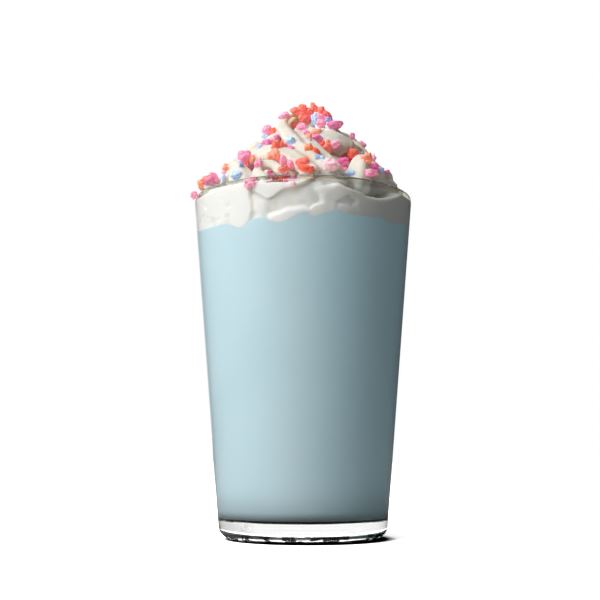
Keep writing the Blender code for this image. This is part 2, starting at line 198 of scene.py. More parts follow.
# Material making


@dataclass
class Board:
    """A node tree that is being wired, with the shared effects at hand."""

    tree: bpy.types.NodeTree
    effects: Effects = field(default_factory=dict)

    def add(self, kind: str, **inputs: object) -> bpy.types.Node:
        """Add a node and fill or wire its inputs.

        Args:
            kind: Node type without the leading ShaderNode.
            **inputs: Input names with _ for a space, each given a value or a socket to wire.

        Returns:
            The new node.
        """
        node = self.tree.nodes.new("ShaderNode" + kind)
        self.fill(node, **inputs)
        return node

    def fill(self, node: bpy.types.Node, **inputs: object) -> None:
        """Fill or wire inputs of a node, named with _ for a space."""
        for name, value in inputs.items():
            self.feed(node.inputs[name.replace("_", " ")], value)

    def feed(self, socket: bpy.types.NodeSocket, value: object) -> None:
        """Give an input a value, or wire it to another node's output.

        Args:
            socket: The input.
            value: Value or socket.
        """
        if isinstance(value, bpy.types.NodeSocket):
            self.tree.links.new(value, socket)
        elif isinstance(value, tuple) and len(value) == 3 and socket.type == "RGBA":
            socket.default_value = (*value, 1.0)
        else:
            socket.default_value = value

    def effect(self, name: str, **values: float) -> bpy.types.NodeSocket:
        """Place one of the shared node groups.

        Args:
            name: Name of the group.
            **values: Values of its inputs, with _ for a space.

        Returns:
            The group's output.
        """
        node = self.tree.nodes.new("ShaderNodeGroup")
        node.node_tree = self.effects[name]
        self.fill(node, **values)
        return node.outputs[0]

    def math(self, operation: str, *values: object) -> bpy.types.NodeSocket:
        """Work out one number from several, taken one after the other.

        Args:
            operation: The Math node's operation.
            *values: Values or sockets.

        Returns:
            The result's socket.
        """
        result = values[0]
        for value in values[1:]:
            node = self.tree.nodes.new("ShaderNodeMath")
            node.operation = operation
            self.feed(node.inputs[0], result)
            self.feed(node.inputs[1], value)
            result = node.outputs[0]
        return result

    def spread(self, value: object, *ends: float, kind: str = "SMOOTHSTEP") -> bpy.types.NodeSocket:
        """Stretch a range of a number over another range, without going past its ends.

        Args:
            value: Socket of the number.
            *ends: Start and end of its range, then the results there if they aren't 0 and 1.
            kind: How the result goes from one end to the other.

        Returns:
            The result's socket.
        """
        node = self.tree.nodes.new("ShaderNodeMapRange")
        node.interpolation_type = kind
        for socket, number in zip(node.inputs, (value, *ends)):
            self.feed(socket, number)
        return node.outputs[0]

    def blend(self, share: object, first: object, second: object) -> bpy.types.NodeSocket:
        """Mix two colours.

        Args:
            share: Value or socket that says how much of the second colour shows.
            first: Colour or socket.
            second: Colour or socket.

        Returns:
            The mixed colour's socket.
        """
        node = self.tree.nodes.new("ShaderNodeMix")
        node.data_type = "RGBA"
        sockets = (node.inputs["Factor"], node.inputs[6], node.inputs[7])
        for socket, value in zip(sockets, (share, first, second)):
            self.feed(socket, value)
        return node.outputs[2]

    def tinted(self, level: object, tint: Colour) -> bpy.types.NodeSocket:
        """Tint a level of grey with the colour that it has at level 1."""
        parts = [self.math("MULTIPLY", level, part) for part in tint]
        return self.add("CombineColor", Red=parts[0], Green=parts[1], Blue=parts[2]).outputs[0]

    def position(self) -> tuple:
        """Sockets of the shaded point's X, Y and Z."""
        return tuple(self.add("SeparateXYZ", Vector=self.add("NewGeometry").outputs["Position"]).outputs)

    def attribute(self, name: str) -> bpy.types.NodeSocket:
        """Read a number that the mesh holds for each point.

        Args:
            name: Name of the attribute.

        Returns:
            The number's socket.
        """
        node = self.add("Attribute")
        node.attribute_name = name
        return node.outputs["Fac"]

    def bump(self, shader: bpy.types.Node, height: object, strength: float, depth: float) -> None:
        """Give a shader's surface a bump of a height, a strength and a depth."""
        node = self.add("Bump", Height=height, Strength=strength, Distance=depth)
        self.feed(shader.inputs["Normal"], node.outputs[0])

    def surface(self, shader: bpy.types.Node) -> None:
        """Show a shader as the material's surface."""
        self.feed(self.tree.nodes["Material Output"].inputs["Surface"], shader.outputs[0])


def make_group(name: str, inputs: dict[str, float], output: str) -> tuple[Board, dict, bpy.types.NodeSocket]:
    """Start a shader node group with named number inputs and one number output.

    Args:
        name: Name of the group.
        inputs: Input names with their usual values.
        output: Name of the output.

    Returns:
        A board to wire the group on, its inner input sockets by name, and the place on the object.
    """
    tree = bpy.data.node_groups.new(name, "ShaderNodeTree")
    for label, value in inputs.items():
        socket = tree.interface.new_socket(label, in_out="INPUT", socket_type="NodeSocketFloat")
        socket.default_value = value
    tree.interface.new_socket(output, in_out="OUTPUT", socket_type="NodeSocketFloat")
    inside = tree.nodes.new("NodeGroupInput")
    board = Board(tree)
    inlet = {label: inside.outputs[label] for label in inputs}
    return board, inlet, board.add("TexCoord").outputs["Object"]


def end_group(board: Board, result: bpy.types.NodeSocket) -> bpy.types.NodeTree:
    """Wire a group's result to its output and return the finished group."""
    board.feed(board.tree.nodes.new("NodeGroupOutput").inputs[0], result)
    return board.tree


def mottle_group() -> bpy.types.NodeTree:
    """Uneven patches with soft edges, such as paler and deeper places in cream or candy.

    Returns:
        The group.
    """
    board, inlet, place = make_group("mottle", {"Scale": 200.0, "Contrast": 0.5}, "Mask")
    patches = board.add("TexNoise", Vector=place, Scale=inlet["Scale"], Detail=4.0, Roughness=0.55)
    centred = board.math("SUBTRACT", patches.outputs[0], 0.5)
    scaled = board.math("MULTIPLY", centred, board.math("MULTIPLY", inlet["Contrast"], 4.0))
    return end_group(board, board.add("Clamp", Value=board.math("ADD", scaled, 0.5)).outputs[0])


def relief_group() -> bpy.types.NodeTree:
    """Fine unevenness of a surface, from a coarse and a fine grain.

    Returns:
        The group.
    """
    usual = {"Coarse Scale": 400.0, "Fine Scale": 2000.0, "Fine Share": 0.4}
    board, inlet, place = make_group("relief", usual, "Height")
    coarse = board.add("TexNoise", Vector=place, Scale=inlet["Coarse Scale"], Detail=3.0)
    fine = board.add("TexNoise", Vector=place, Scale=inlet["Fine Scale"], Detail=5.0)
    share = board.math("MULTIPLY", fine.outputs[0], inlet["Fine Share"])
    return end_group(board, board.math("ADD", coarse.outputs[0], share))


def fleck_group() -> bpy.types.NodeTree:
    """Small scattered round spots, such as bubbles in the shake or sugar grains on candy.

    Returns:
        The group.
    """
    board, inlet, place = make_group("flecks", {"Scale": 300.0, "Size": 0.12, "Share": 0.3}, "Mask")
    cells = board.add("TexVoronoi", Vector=place, Scale=inlet["Scale"])
    inner = board.math("MULTIPLY", inlet["Size"], 0.5)
    near = board.spread(cells.outputs["Distance"], inner, inlet["Size"], 1.0, 0.0, kind="LINEAR")
    pick = board.add("SeparateColor", Color=cells.outputs["Color"])
    chosen = board.math("LESS_THAN", pick.outputs[0], inlet["Share"])
    return end_group(board, board.math("MULTIPLY", near, chosen))


def new_material(name: str, effects: Effects) -> tuple[bpy.types.Material, Board, bpy.types.Node]:
    """Start a material.

    Args:
        name: Name of the material.
        effects: The shared node groups by name.

    Returns:
        The material, its board and its Principled shader.
    """
    material = bpy.data.materials.new(name)
    material.use_nodes = True
    return material, Board(material.node_tree, effects), material.node_tree.nodes["Principled BSDF"]


@dataclass(frozen=True)
class Finish:
    """A finish, made into a material with the shared effects."""

    effects: Effects


@dataclass(frozen=True)
class GlassFinish(Finish):
    """Clear glass, faintly smeared and wavy, with painted shade: a grey lip band, a dark rim line, grey and
    dark in its foot.
    """

    colour: Colour = WHITE
    refraction: float = 1.5
    smear: float = 0.02
    wave_depth: float = 0.10 * MM
    # Painted shade: a grey band under the lip, and a painted dark line along its top edge
    lip: Colour = (0.70, 0.71, 0.64)
    painted_lip_shade_up: Span = (125.4 * MM, 125.9 * MM)
    edge: Colour = (0.16, 0.16, 0.14)
    painted_rim_line_up: Span = (127.5 * MM, 127.7 * MM)
    # Painted shade: streaky grey at the left of the foot, low down
    painted_left_shade: Colour = (0.02, 0.02, 0.02)
    painted_left_shade_across: Span = (-27 * MM, -15 * MM)
    painted_left_shade_up: Span = (5.5 * MM, 8.5 * MM)
    painted_left_shade_streaks: tuple = (0.2, 0.8, 0.4, 1.0)
    # Painted shadow: near-black patches at the contact, just above the foot's underside
    painted_foot_shadow: Colour = (0.004, 0.004, 0.004)
    painted_foot_shadow_up: Span = (2.5 * MM, 3.3 * MM)
    painted_foot_shadow_patches: tuple = (0.3, 0.6, 0.3, 1.0)
    shadow_up: Span = (2 * MM, 22 * MM)
    base_shadow: float = 0.33

    def make(self) -> bpy.types.Material:
        """Make the material, which light and shadow pass straight through.

        Returns:
            The finished material.
        """
        material, board, shader = new_material("clear glass", self.effects)
        x, _, z = board.position()
        # Painted shade on the band under the lip, then a painted dark line at its top
        tint = board.blend(board.spread(z, *self.painted_lip_shade_up), self.colour, self.lip)
        tint = board.blend(board.spread(z, *self.painted_rim_line_up), tint, self.edge)
        # Painted shade: streaky grey at the left of the foot
        left = board.spread(x, *self.painted_left_shade_across, 1.0, 0.0)
        low = board.spread(z, *self.painted_left_shade_up, 1.0, 0.0)
        left_shade_streaks = board.spread(board.effect("mottle", Scale=110.0, Contrast=1.6), *self.painted_left_shade_streaks)
        tint = board.blend(board.math("MULTIPLY", left, low, left_shade_streaks), tint, self.painted_left_shade)
        # Painted contact shadow in patches, low in the foot
        patches = board.spread(board.effect("mottle", Scale=190.0, Contrast=3.0), *self.painted_foot_shadow_patches)
        near_foot = board.spread(z, *self.painted_foot_shadow_up, 1.0, 0.0)
        tint = board.blend(board.math("MULTIPLY", near_foot, patches), tint, self.painted_foot_shadow)
        smears = board.math("MULTIPLY", board.effect("mottle", Scale=60.0, Contrast=0.9), self.smear)
        board.fill(shader, Base_Color=tint, Roughness=smears, IOR=self.refraction, Transmission_Weight=1.0)
        waves = board.effect("relief", Coarse_Scale=45.0, Fine_Scale=140.0, Fine_Share=0.15)
        board.bump(shader, waves, 0.35, self.wave_depth)
        path = board.add("LightPath").outputs
        through = board.math("MAXIMUM", path["Is Shadow Ray"], path["Is Diffuse Ray"])
        passed = board.spread(z, *self.shadow_up, self.base_shadow, 1.0)
        clear = board.add("BsdfTransparent", Color=board.blend(passed, BLACK, WHITE))
        mix = board.add("MixShader")
        for socket, value in zip(mix.inputs, (through, shader.outputs[0], clear.outputs[0])):
            board.feed(socket, value)
        board.surface(mix)
        return material


@dataclass(frozen=True)
class ShakeFinish(Finish):
    """Milky blue drink with a few fine bubbles, whose slanting underside mirrors in the glass's floor."""

    colour: Colour = (0.545, 0.715, 0.765)
    deep: Colour = (0.50, 0.68, 0.735)
    shaded: Colour = (0.515, 0.775, 0.86)
    shaded_across: Span = (-5.0 * MM, 24.0 * MM)
    bubble: Colour = (0.42, 0.60, 0.66)
    bubble_strength: float = 0.35
    edge: Colour = (0.80, 0.83, 0.80)
    edge_width: float = 0.7
    edge_strength: float = 0.12
    softness: float = 3.0 * MM
    mirror_from: float = 0.3
    mirror_height: float = 7.8 * MM
    roughness: Span = (0.5, 0.04)

    def make(self) -> bpy.types.Material:
        """Make the material.

        Returns:
            The finished material.
        """
        material, board, shader = new_material("blue shake", self.effects)
        x, _, z = board.position()
        body = board.blend(board.effect("mottle", Scale=35.0, Contrast=0.35), self.colour, self.deep)
        body = board.blend(board.spread(x, *self.shaded_across), body, self.shaded)
        bubbles = board.effect("flecks", Scale=220.0, Size=0.10, Share=0.35)
        body = board.blend(board.math("MULTIPLY", bubbles, self.bubble_strength), body, self.bubble)
        shore = board.spread(board.attribute("depth"), 0.0, self.edge_width, self.edge_strength, 0.0)
        body = board.blend(shore, body, self.edge)
        slanting = board.math("GREATER_THAN", board.add("LayerWeight").outputs["Facing"], self.mirror_from)
        mirror = board.math("MULTIPLY", slanting, board.math("LESS_THAN", z, self.mirror_height))
        board.fill(
            shader, Metallic=mirror, Base_Color=board.blend(mirror, body, WHITE),
            Roughness=board.spread(mirror, 0.0, 1.0, *self.roughness), Specular_IOR_Level=0.1,
            Subsurface_Weight=0.3, Subsurface_Radius=(0.8, 1.0, 1.0), Subsurface_Scale=self.softness,
        )
        grain = board.effect("relief", Coarse_Scale=500.0, Fine_Scale=2500.0, Fine_Share=0.3)
        board.bump(shader, grain, 0.05, 0.1 * MM)
        return material


@dataclass(frozen=True)
class CreamFinish(Finish):
    """Whipped cream: warm white, greyer behind the glass, with painted shade in its folds and on the wall's
    right.
    """

    colour: Colour = (0.70, 0.66, 0.58)
    thick: Colour = (0.75, 0.715, 0.64)
    wall: Colour = (0.80, 0.805, 0.77)
    wall_painted_shade: Colour = (0.63, 0.65, 0.62)
    painted_shade_across: Span = (13.0 * MM, 18.0 * MM)
    # Painted shade: tan in hollows and folds above the rim; grey-olive painted shade below it
    fold: Colour = (0.66, 0.46, 0.27)
    shade: Colour = (0.62, 0.59, 0.48)
    painted_shade_strength: float = 0.9
    softness: float = 3.5 * MM
    rim_height: float = 128 * MM
    rim_blur: float = 2 * MM

    def make(self) -> bpy.types.Material:
        """Make the material.

        Returns:
            The finished material.
        """
        material, board, shader = new_material("whipped cream", self.effects)
        x, _, z = board.position()
        body = board.blend(board.effect("mottle", Scale=90.0, Contrast=0.45), self.colour, self.thick)
        above = board.spread(z, self.rim_height - self.rim_blur, self.rim_height + self.rim_blur)
        # Painted shade: the cream at the wall darkens towards the right, away from the key light
        wall = board.blend(board.spread(x, *self.painted_shade_across), self.wall, self.wall_painted_shade)
        # Painted shade: hollows and listed places turn tan above the rim and grey-olive behind the glass
        hollow = board.math("MULTIPLY", board.attribute("hollow"), self.painted_shade_strength)
        body = board.blend(hollow, board.blend(above, wall, body), board.blend(above, self.shade, self.fold))
        board.fill(
            shader, Base_Color=body, Roughness=0.42, Specular_IOR_Level=0.35,
            Subsurface_Weight=0.8, Subsurface_Radius=(1.0, 0.8, 0.55), Subsurface_Scale=self.softness,
        )
        grain = board.effect("relief", Coarse_Scale=350.0, Fine_Scale=1800.0, Fine_Share=0.35)
        board.bump(shader, grain, 0.22, 0.25 * MM)
        return material


@dataclass(frozen=True)
class CrumbFinish(Finish):
    """Candy crumb: dyed sugar, paler where powdery, with grains painted pale as glints and a painted glow.
    """

    candy: Candy
    powder: float = 0.25
    depth: float = 0.85
    varied: float = 0.55
    painted_glint_share: float = 0.5
    painted_glow: float = 0.2
    softness: float = 0.7 * MM
    roughness: Span = (0.38, 0.62)

    def make(self) -> bpy.types.Material:
        """Make the material.

        Returns:
            The finished material.
        """
        material, board, shader = new_material(f"{self.candy.name.lower()} candy", self.effects)
        base = self.candy.value
        pale = tuple(part + (1 - part) * self.powder for part in base)
        deep = tuple(part * self.depth for part in base)
        patches = board.effect("mottle", Scale=650.0, Contrast=0.8)
        island = board.add("NewGeometry").outputs["Random Per Island"]
        dyed = board.blend(patches, deep, base)
        dyed = board.blend(board.spread(island, 0.0, 1.0, 0.0, self.varied), dyed, pale)
        # Sugar grains painted pale, as painted glints
        sugar = board.effect("flecks", Scale=1500.0, Size=0.35, Share=0.4)
        with_painted_glints = board.blend(board.math("MULTIPLY", sugar, self.painted_glint_share), dyed, pale)
        # Painted glow: a weak emission of the candy's own colour stands in for light through the sugar
        board.fill(
            shader, Base_Color=with_painted_glints, Emission_Color=with_painted_glints, Emission_Strength=self.painted_glow,
            Roughness=board.spread(patches, 0.0, 1.0, *self.roughness), Specular_IOR_Level=0.4,
            Subsurface_Weight=0.6, Subsurface_Radius=(1.0, 0.55, 0.5), Subsurface_Scale=self.softness,
        )
        grain = board.effect("relief", Coarse_Scale=1100.0, Fine_Scale=4200.0, Fine_Share=0.5)
        board.bump(shader, grain, 0.4, 0.2 * MM)
        return material


# The glass and the shake


@dataclass
class Tumbler:
    """Tapered glass with a heavy floor, a rounded lip and a shallow hollow under its foot."""

    height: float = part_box("glass")[1].z
    rim_radius: float = 42.1 * MM
    foot_radius: float = 31.1 * MM
    wall: float = 2.1 * MM
    lip_rise: float = 0.45 * MM
    lip_band: float = 2.6 * MM
    lip_bend: float = 0.8 * MM
    lip_lean: float = 0.105
    floor: float = 7.0 * MM
    heel_round: float = 5.0 * MM
    corner_round: float = 4.0 * MM
    hollow_radius: float = 21.0 * MM
    hollow_depth: float = 0.9 * MM
    sides: int = 180
    band_steps: tuple = (0.0, 0.06, 0.13, 0.2, 0.27, 0.35, 0.5, 0.75, 1.0)
    side_shares: tuple = (0.3, 0.6, 0.9)
    lowest_share: float = 0.08
    hollow_shares: tuple = (0.8, 0.4)
    corner_steps: int = 10
    lip_steps: int = 20
    heel_steps: int = 14
    hollow_steps: int = 5

    def outer(self, z: float) -> float:
        """Find the radius of the outer side, which is straight and leans in a little at the lip.

        Args:
            z: Height.

        Returns:
            The radius.
        """
        over = max(0.0, z - self.height + self.lip_band)
        bent = min(over, self.lip_bend)
        lean = self.lip_lean * (bent * bent / self.lip_bend / 2 + over - bent)
        return self.foot_radius + (self.rim_radius - self.foot_radius) * z / self.height - lean

    def inner(self, z: float) -> float:
        """Radius of the inner side at a height."""
        return self.outer(z) - self.wall

    def corner(self) -> tuple[float, float]:
        """Radius and height of the centre of the rounding between inner side and floor."""
        z = self.floor + self.corner_round
        return self.inner(z) - self.corner_round, z

    def build(self, finish: GlassFinish) -> bpy.types.Object:
        """Build and dress the glass.

        Args:
            finish: The glass's finish.

        Returns:
            The glass, which stands for the node of that name.
        """
        lip_z = self.height - self.lip_rise
        band_z = self.height - self.lip_band
        band = [band_z + (lip_z - band_z) * share for share in self.band_steps]
        heel_r = self.outer(self.heel_round) - self.heel_round
        floor_r = self.corner()[0]
        profile = [(0.0, self.floor)]
        profile += [(floor_r * share, self.floor) for share in self.side_shares]
        profile += arc(self.corner(), self.corner_round, -90, 0, self.corner_steps)
        profile += [(self.inner(band_z * share), band_z * share) for share in self.side_shares]
        profile += [(self.inner(z), z) for z in band[:-1]]
        middle = self.outer(lip_z) - self.wall / 2
        for across, up in arc((0.0, 0.0), 1.0, 180, 0, self.lip_steps):
            profile.append((middle + across * self.wall / 2, lip_z + up * self.lip_rise))
        profile += [(self.outer(z), z) for z in band[-2::-1]]
        downwards = (*self.side_shares[::-1], self.lowest_share)
        profile += [(self.outer(band_z * share), band_z * share) for share in downwards]
        profile += arc((heel_r, self.heel_round), self.heel_round, 0, -90, self.heel_steps)
        foot = (self.hollow_radius, self.hollow_depth)
        profile += arc(foot, self.hollow_depth, -90, -180, self.hollow_steps)
        profile += [(self.hollow_radius * share, self.hollow_depth) for share in self.hollow_shares]
        profile.append((0.0, self.hollow_depth))
        glass = turn("tumbler", profile, self.sides)
        glass.data.materials.append(finish.make())
        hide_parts("glass")
        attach(glass, BODY)
        return glass


@dataclass
class Shake:
    """Drink that fills the glass up to the cream, and reaches just into the wall.

    The back's waves are in mm and its places in degrees. Sizes with MM are in metres.
    """

    glass: Tumbler
    level: float = 114.8 * MM
    reach: float = 0.22 * MM
    tongue_reach: float = 12.0 * MM
    sides: int = 360
    seed: int = 11
    back_marks: int = 17
    back_from: float = 75.0
    back_span: float = 200.0
    back_wave: Span = (-3.2, 1.2)
    shore_from: float = -85.0
    steps_per_degree: int = 2
    shore_blur: int = 6
    shore_softness: float = 2.0
    sharp_from: float = 50.0
    top_shares: tuple = (0.0, 0.35, 0.6, 0.7, 0.78, 0.85, 0.9, 0.94, 0.97, 1.0)
    side_heights: tuple = (109.5, 108.5, 104, 80, 55, 30)
    brim_in: float = MM / 5
    brim_drop: float = MM / 2
    brim_stretch: float = 2.0
    shore: np.ndarray = field(init=False)

    def __post_init__(self) -> None:
        """Work out the drink's edge round the wall, the back's by a seeded rule."""
        draw = random.Random(self.seed)
        back = [
            (self.back_from + self.back_span * (number + 0.5) / self.back_marks,
             self.level / MM + draw.uniform(*self.back_wave))
            for number in range(self.back_marks)
        ]
        marks = np.array(SHORE + back + [(SHORE[0][0] + 360, SHORE[0][1])])
        angles = np.arange(self.shore_from, self.shore_from + 360, 1 / self.steps_per_degree)
        line = np.interp(angles, marks[:, 0], marks[:, 1])
        blur = self.shore_blur
        near = np.exp(-0.5 * (np.arange(-blur, blur + 1) / self.shore_softness) ** 2)
        padded = np.concatenate([line[-blur:], line, line[:blur]])
        self.shore = np.convolve(padded, near / near.sum(), "valid") * MM

    def edge(self, angle: float) -> float:
        """Find the height of the drink's edge at the wall.

        Args:
            angle: Angle in degrees.

        Returns:
            The height.
        """
        place = ((angle - self.shore_from) % 360) * self.steps_per_degree
        low = int(place) % len(self.shore)
        high = (low + 1) % len(self.shore)
        return self.shore[low] + (self.shore[high] - self.shore[low]) * (place - int(place))

    def top(self, x: float, y: float) -> float:
        """Height of the shake under the cream.

        Args:
            x: Place in the glass.
            y: Place in the glass.

        Returns:
            The height.
        """
        angle = math.degrees(math.atan2(x, -y))
        rim = self.glass.inner(self.level)
        near = min(1.0, max(0.0, (math.hypot(x, y) - rim + self.tongue_reach) / self.tongue_reach))
        return self.level + (self.edge(angle) - self.level) * near * near * (3 - 2 * near)

    def body(self) -> bpy.types.Object:
        """Build the drink's closed form, with a point attribute for the depth under its edge.

        Returns:
            The drink.
        """
        reach = self.reach
        corner = self.glass.corner()
        edge = self.glass.inner(self.level) + reach
        profile = [(edge * share, self.level) for share in self.top_shares]
        profile += [(edge - self.brim_in, self.level - self.brim_drop)]
        profile += [(self.glass.inner(z * MM) + reach, z * MM) for z in self.side_heights]
        profile += arc(corner, self.glass.corner_round + reach, 0, -90, self.glass.corner_steps)
        profile.append((0.0, self.glass.floor - reach))
        drink = turn("drink", profile, self.sides)
        depth = drink.data.attributes.new("depth", "FLOAT", "POINT")
        for vertex in drink.data.vertices:
            x, y, z = vertex.co
            radius = math.hypot(x, y)
            shore = self.edge(math.degrees(math.atan2(x, -y)))
            if z > self.level - self.brim_drop * 2:
                under = self.level - z
                z = self.top(x, y) - under * self.brim_stretch
                if radius > edge - self.brim_drop:
                    scale = (self.glass.inner(z) + reach) / radius
                    x, y = x * scale, y * scale
                vertex.co = (x, y, z)
            depth.data[vertex.index].value = (shore - z) / MM
        drink.data.set_sharp_from_angle(angle=math.radians(self.sharp_from))
        return drink

    def build(self, finish: ShakeFinish) -> bpy.types.Object:
        """Build and dress the shake.

        Args:
            finish: The drink's finish.

        Returns:
            The drink, which stands for the node shake.
        """
        drink = self.body()
        drink.data.materials.append(finish.make())
        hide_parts("shake")
        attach(drink, BODY)
        return drink


# The viewer's camera


@dataclass(frozen=True)
class Viewpoint:
    """Camera at the photo's place and angle."""

    place: Point = (-1.11 * MM, -398.0 * MM, 30.6 * MM)
    pitch: float = 8.42
    focal_pixels: float = 1046.0
    image_size: int = 600
    sensor: float = 36.0
    wall_guess: Span = (118 * MM, 0.37)
    wall_rounds: int = 8
    side_share: float = 0.985
    side_turn: float = 16.0
    nearest: float = 10 * MM

    def ray(self, px: float, py: float) -> Vector:
        """Direction from the camera through a pixel.

        Args:
            px: Pixel from the left.
            py: Pixel from the top.

        Returns:
            The direction, one unit long along the camera's axis.
        """
        across = (px - self.image_size / 2) / self.focal_pixels
        up = (self.image_size / 2 - py) / self.focal_pixels
        tilt = math.radians(self.pitch)
        ahead = math.cos(tilt) - up * math.sin(tilt)
        return Vector((across, ahead, math.sin(tilt) + up * math.cos(tilt)))

    def pixels(self, points: np.ndarray) -> tuple[np.ndarray, np.ndarray, np.ndarray]:
        """Find the pixels that points show at.

        Args:
            points: Points, one row each.

        Returns:
            Pixels from the left, pixels from the top, and depths along the camera's axis.
        """
        x, y, z = (points - np.array(self.place)).T
        tilt = math.radians(self.pitch)
        depth = y * math.cos(tilt) + z * math.sin(tilt)
        up = z * math.cos(tilt) - y * math.sin(tilt)
        half = self.image_size / 2
        return half + self.focal_pixels * x / depth, half - self.focal_pixels * up / depth, depth

    def on_wall(self, glass: Tumbler, px: float, py: float) -> tuple[float, float]:
        """Find the place on the front of the glass's inner wall that a pixel shows.

        Args:
            glass: The glass.
            px: Pixel from the left.
            py: Pixel from the top.

        Returns:
            Angle in degrees and height in mm. Past the glass's side it is a place just round the side.
        """
        ray = self.ray(px, py)
        z, depth = self.wall_guess
        for _ in range(self.wall_rounds):
            radius = glass.inner(z)
            x = self.place[0] + ray.x * depth
            beyond = 0 if abs(x) < radius * self.side_share else math.copysign(1, x)
            angle = math.asin(max(-self.side_share, min(self.side_share, x / radius)))
            depth = (-radius * math.cos(angle) - self.place[1]) / ray.y
            z = self.place[2] + ray.z * depth
        return math.degrees(angle) + beyond * self.side_turn, z / MM

    def build(self) -> None:
        """Make the camera and set it as the scene's."""
        data = bpy.data.cameras.new("camera")
        data.sensor_width = self.sensor
        data.lens = self.focal_pixels / self.image_size * self.sensor
        data.clip_start = self.nearest
        camera = bpy.data.objects.new("camera", data)
        camera.location = self.place
        camera.rotation_euler = (math.radians(90 + self.pitch), 0.0, 0.0)
        bpy.context.scene.collection.objects.link(camera)
        bpy.context.scene.camera = camera


# The whipped cream

# Folds of the heap's front, each as (x, y, z, half width) in mm along its crest
FRONT_FOLDS: dict[str, list] = {
    "crown": [
        (4, -2, 156, 2.4), (3, -3, 160.5, 1.7), (-0.5, -2.5, 163, 1.5), (-4.5, -3, 163, 1.4),
        (-7.6, -5, 160, 1.8), (-7.4, -10, 156, 2.6), (-5.6, -16.5, 151.8, 3.3),
        (-2.4, -23.5, 146, 3.6), (1.4, -29, 141, 3.6), (5.4, -32.8, 136.6, 3.3), (9.9, -35.3, 132.6, 2.4),
    ],
    "crown_inner": [
        (-1.5, -8, 155.8, 2.0), (-1.2, -12.5, 153, 2.8), (1.4, -19, 148.4, 3.0), (4.6, -25, 143.6, 3.0),
        (8.4, -29, 139, 2.6), (12.4, -31, 134.6, 1.8),
    ],
    "crown_back": [
        (-5.5, 0.5, 156, 3.0), (-2.5, 0.8, 160.6, 3.0), (1.5, 0.5, 160.4, 3.0), (4.5, 0, 157, 3.0),
    ],
    "crown_fill": [
        (-8.5, 1.5, 156, 3.2), (-6.2, 2, 161.4, 3.0), (-3.2, 2.4, 163.7, 2.8), (0.6, 2.4, 162.8, 3.0),
        (3.4, 2, 159, 3.2),
    ],
    "crown_floor": [(-5, 0, 153, 3.4), (-3, 0.5, 157, 2.8), (-0.6, 0, 158.6, 2.4)],
    "small_curl": [
        (30.4, -6, 136.2, 1.3), (31.8, -7.6, 138, 1.4), (33.6, -7.6, 137.6, 1.4), (34.4, -7, 135.6, 1.3),
    ],
    "left_flank": [
        (-8, -3, 158, 2.6), (-11, -6.6, 154.6, 3.4), (-14, -9, 151, 3.8),
        (-17.2, -11, 146.4, 3.6), (-21, -12, 141.4, 2.6),
    ],
    "upper_right": [
        (-1, -8.4, 155.6, 3.0), (4, -10.5, 154.8, 3.6), (8.5, -11.5, 152.6, 4.2),
        (13, -11, 150.4, 4.4), (16.5, -11, 147.6, 3.8),
    ],
    "petal": [
        (4.6, -15, 150.4, 3.4), (8.5, -16, 149.8, 4.8), (13, -16, 149.2, 5.1), (16.6, -15, 148.4, 4.6),
        (18.2, -14.4, 147.8, 3.2),
    ],
    "right_edge": [
        (9, 1, 157, 3.0), (16.5, -1, 155, 3.6), (21.6, -4.2, 151, 4.0),
        (25.2, -6.8, 146, 4.0), (27.6, -9, 140.5, 3.2),
    ],
    "below_crown": [
        (-16, -24, 140.6, 2.4), (-11.4, -26.2, 141.6, 3.2), (-6.9, -28.9, 140.2, 3.6),
        (-2.2, -33, 136.6, 3.6), (3.1, -37, 131.6, 3.0),
    ],
    "left_shoulder": [
        (-26, -14, 137, 2.4), (-22.6, -18.4, 140.4, 3.4), (-17.8, -20.4, 143, 4.2),
        (-13, -24.5, 142.4, 3.8), (-10, -28.5, 138.4, 2.6),
    ],
    "curl": [
        (-8.2, -36.6, 131.2, 1.8), (-11, -34.4, 134, 2.0), (-14.8, -33.4, 134.2, 2.0),
        (-16.8, -34.6, 131.2, 2.0), (-13.8, -37, 128.6, 1.8),
    ],
    "left_leaf": [
        (-23, -32.6, 123.5, 5.6), (-23.8, -31, 129.5, 5.2), (-25, -27, 134.4, 3.4),
        (-26.4, -22.5, 138.2, 1.2),
    ],
    "middle_leaf": [
        (8.6, -34.4, 123.5, 5.4), (8.8, -34.8, 130, 5.4), (9.7, -33, 134.6, 4.0), (10.6, -31, 137, 1.6),
    ],
    "right_leaf": [
        (18.4, -30, 127.5, 5.0), (19.6, -27.4, 134, 5.0), (20.6, -23.6, 139, 3.4), (21.2, -21.4, 141, 1.4),
    ],
    "right_slope": [
        (26, -14, 139, 3.4), (29, -16.5, 136, 3.8), (32.5, -14, 132.6, 3.6), (35.5, -8, 129.8, 3.0),
    ],
    "behind_rim": [
        (-5, -35.6, 126.6, 2.6), (0, -36.4, 127.6, 2.8), (6, -36, 127.6, 2.8), (12, -34, 127.2, 2.6),
        (17, -31.4, 126.6, 2.4),
    ],
    "right_shelf": [
        (22, -24, 127.4, 3.0), (27, -20.5, 129.6, 3.2), (31.6, -15.5, 131.6, 3.2), (35.4, -8, 132.6, 3.0),
        (37, -2, 131.6, 3.0), (36.8, 6, 130, 2.8),
    ],
    "left_slope": [
        (-26, -16, 137.6, 3.0), (-30.5, -15, 134, 3.8), (-34.5, -12, 130.4, 3.8), (-37, -6, 127.4, 3.0),
    ],
}

# Folds that face away from a place of their own instead of the heap's middle, in mm
FACING: dict[str, Point] = {"petal": (12, 6, 132), "right_leaf": (27, -2, 127)}

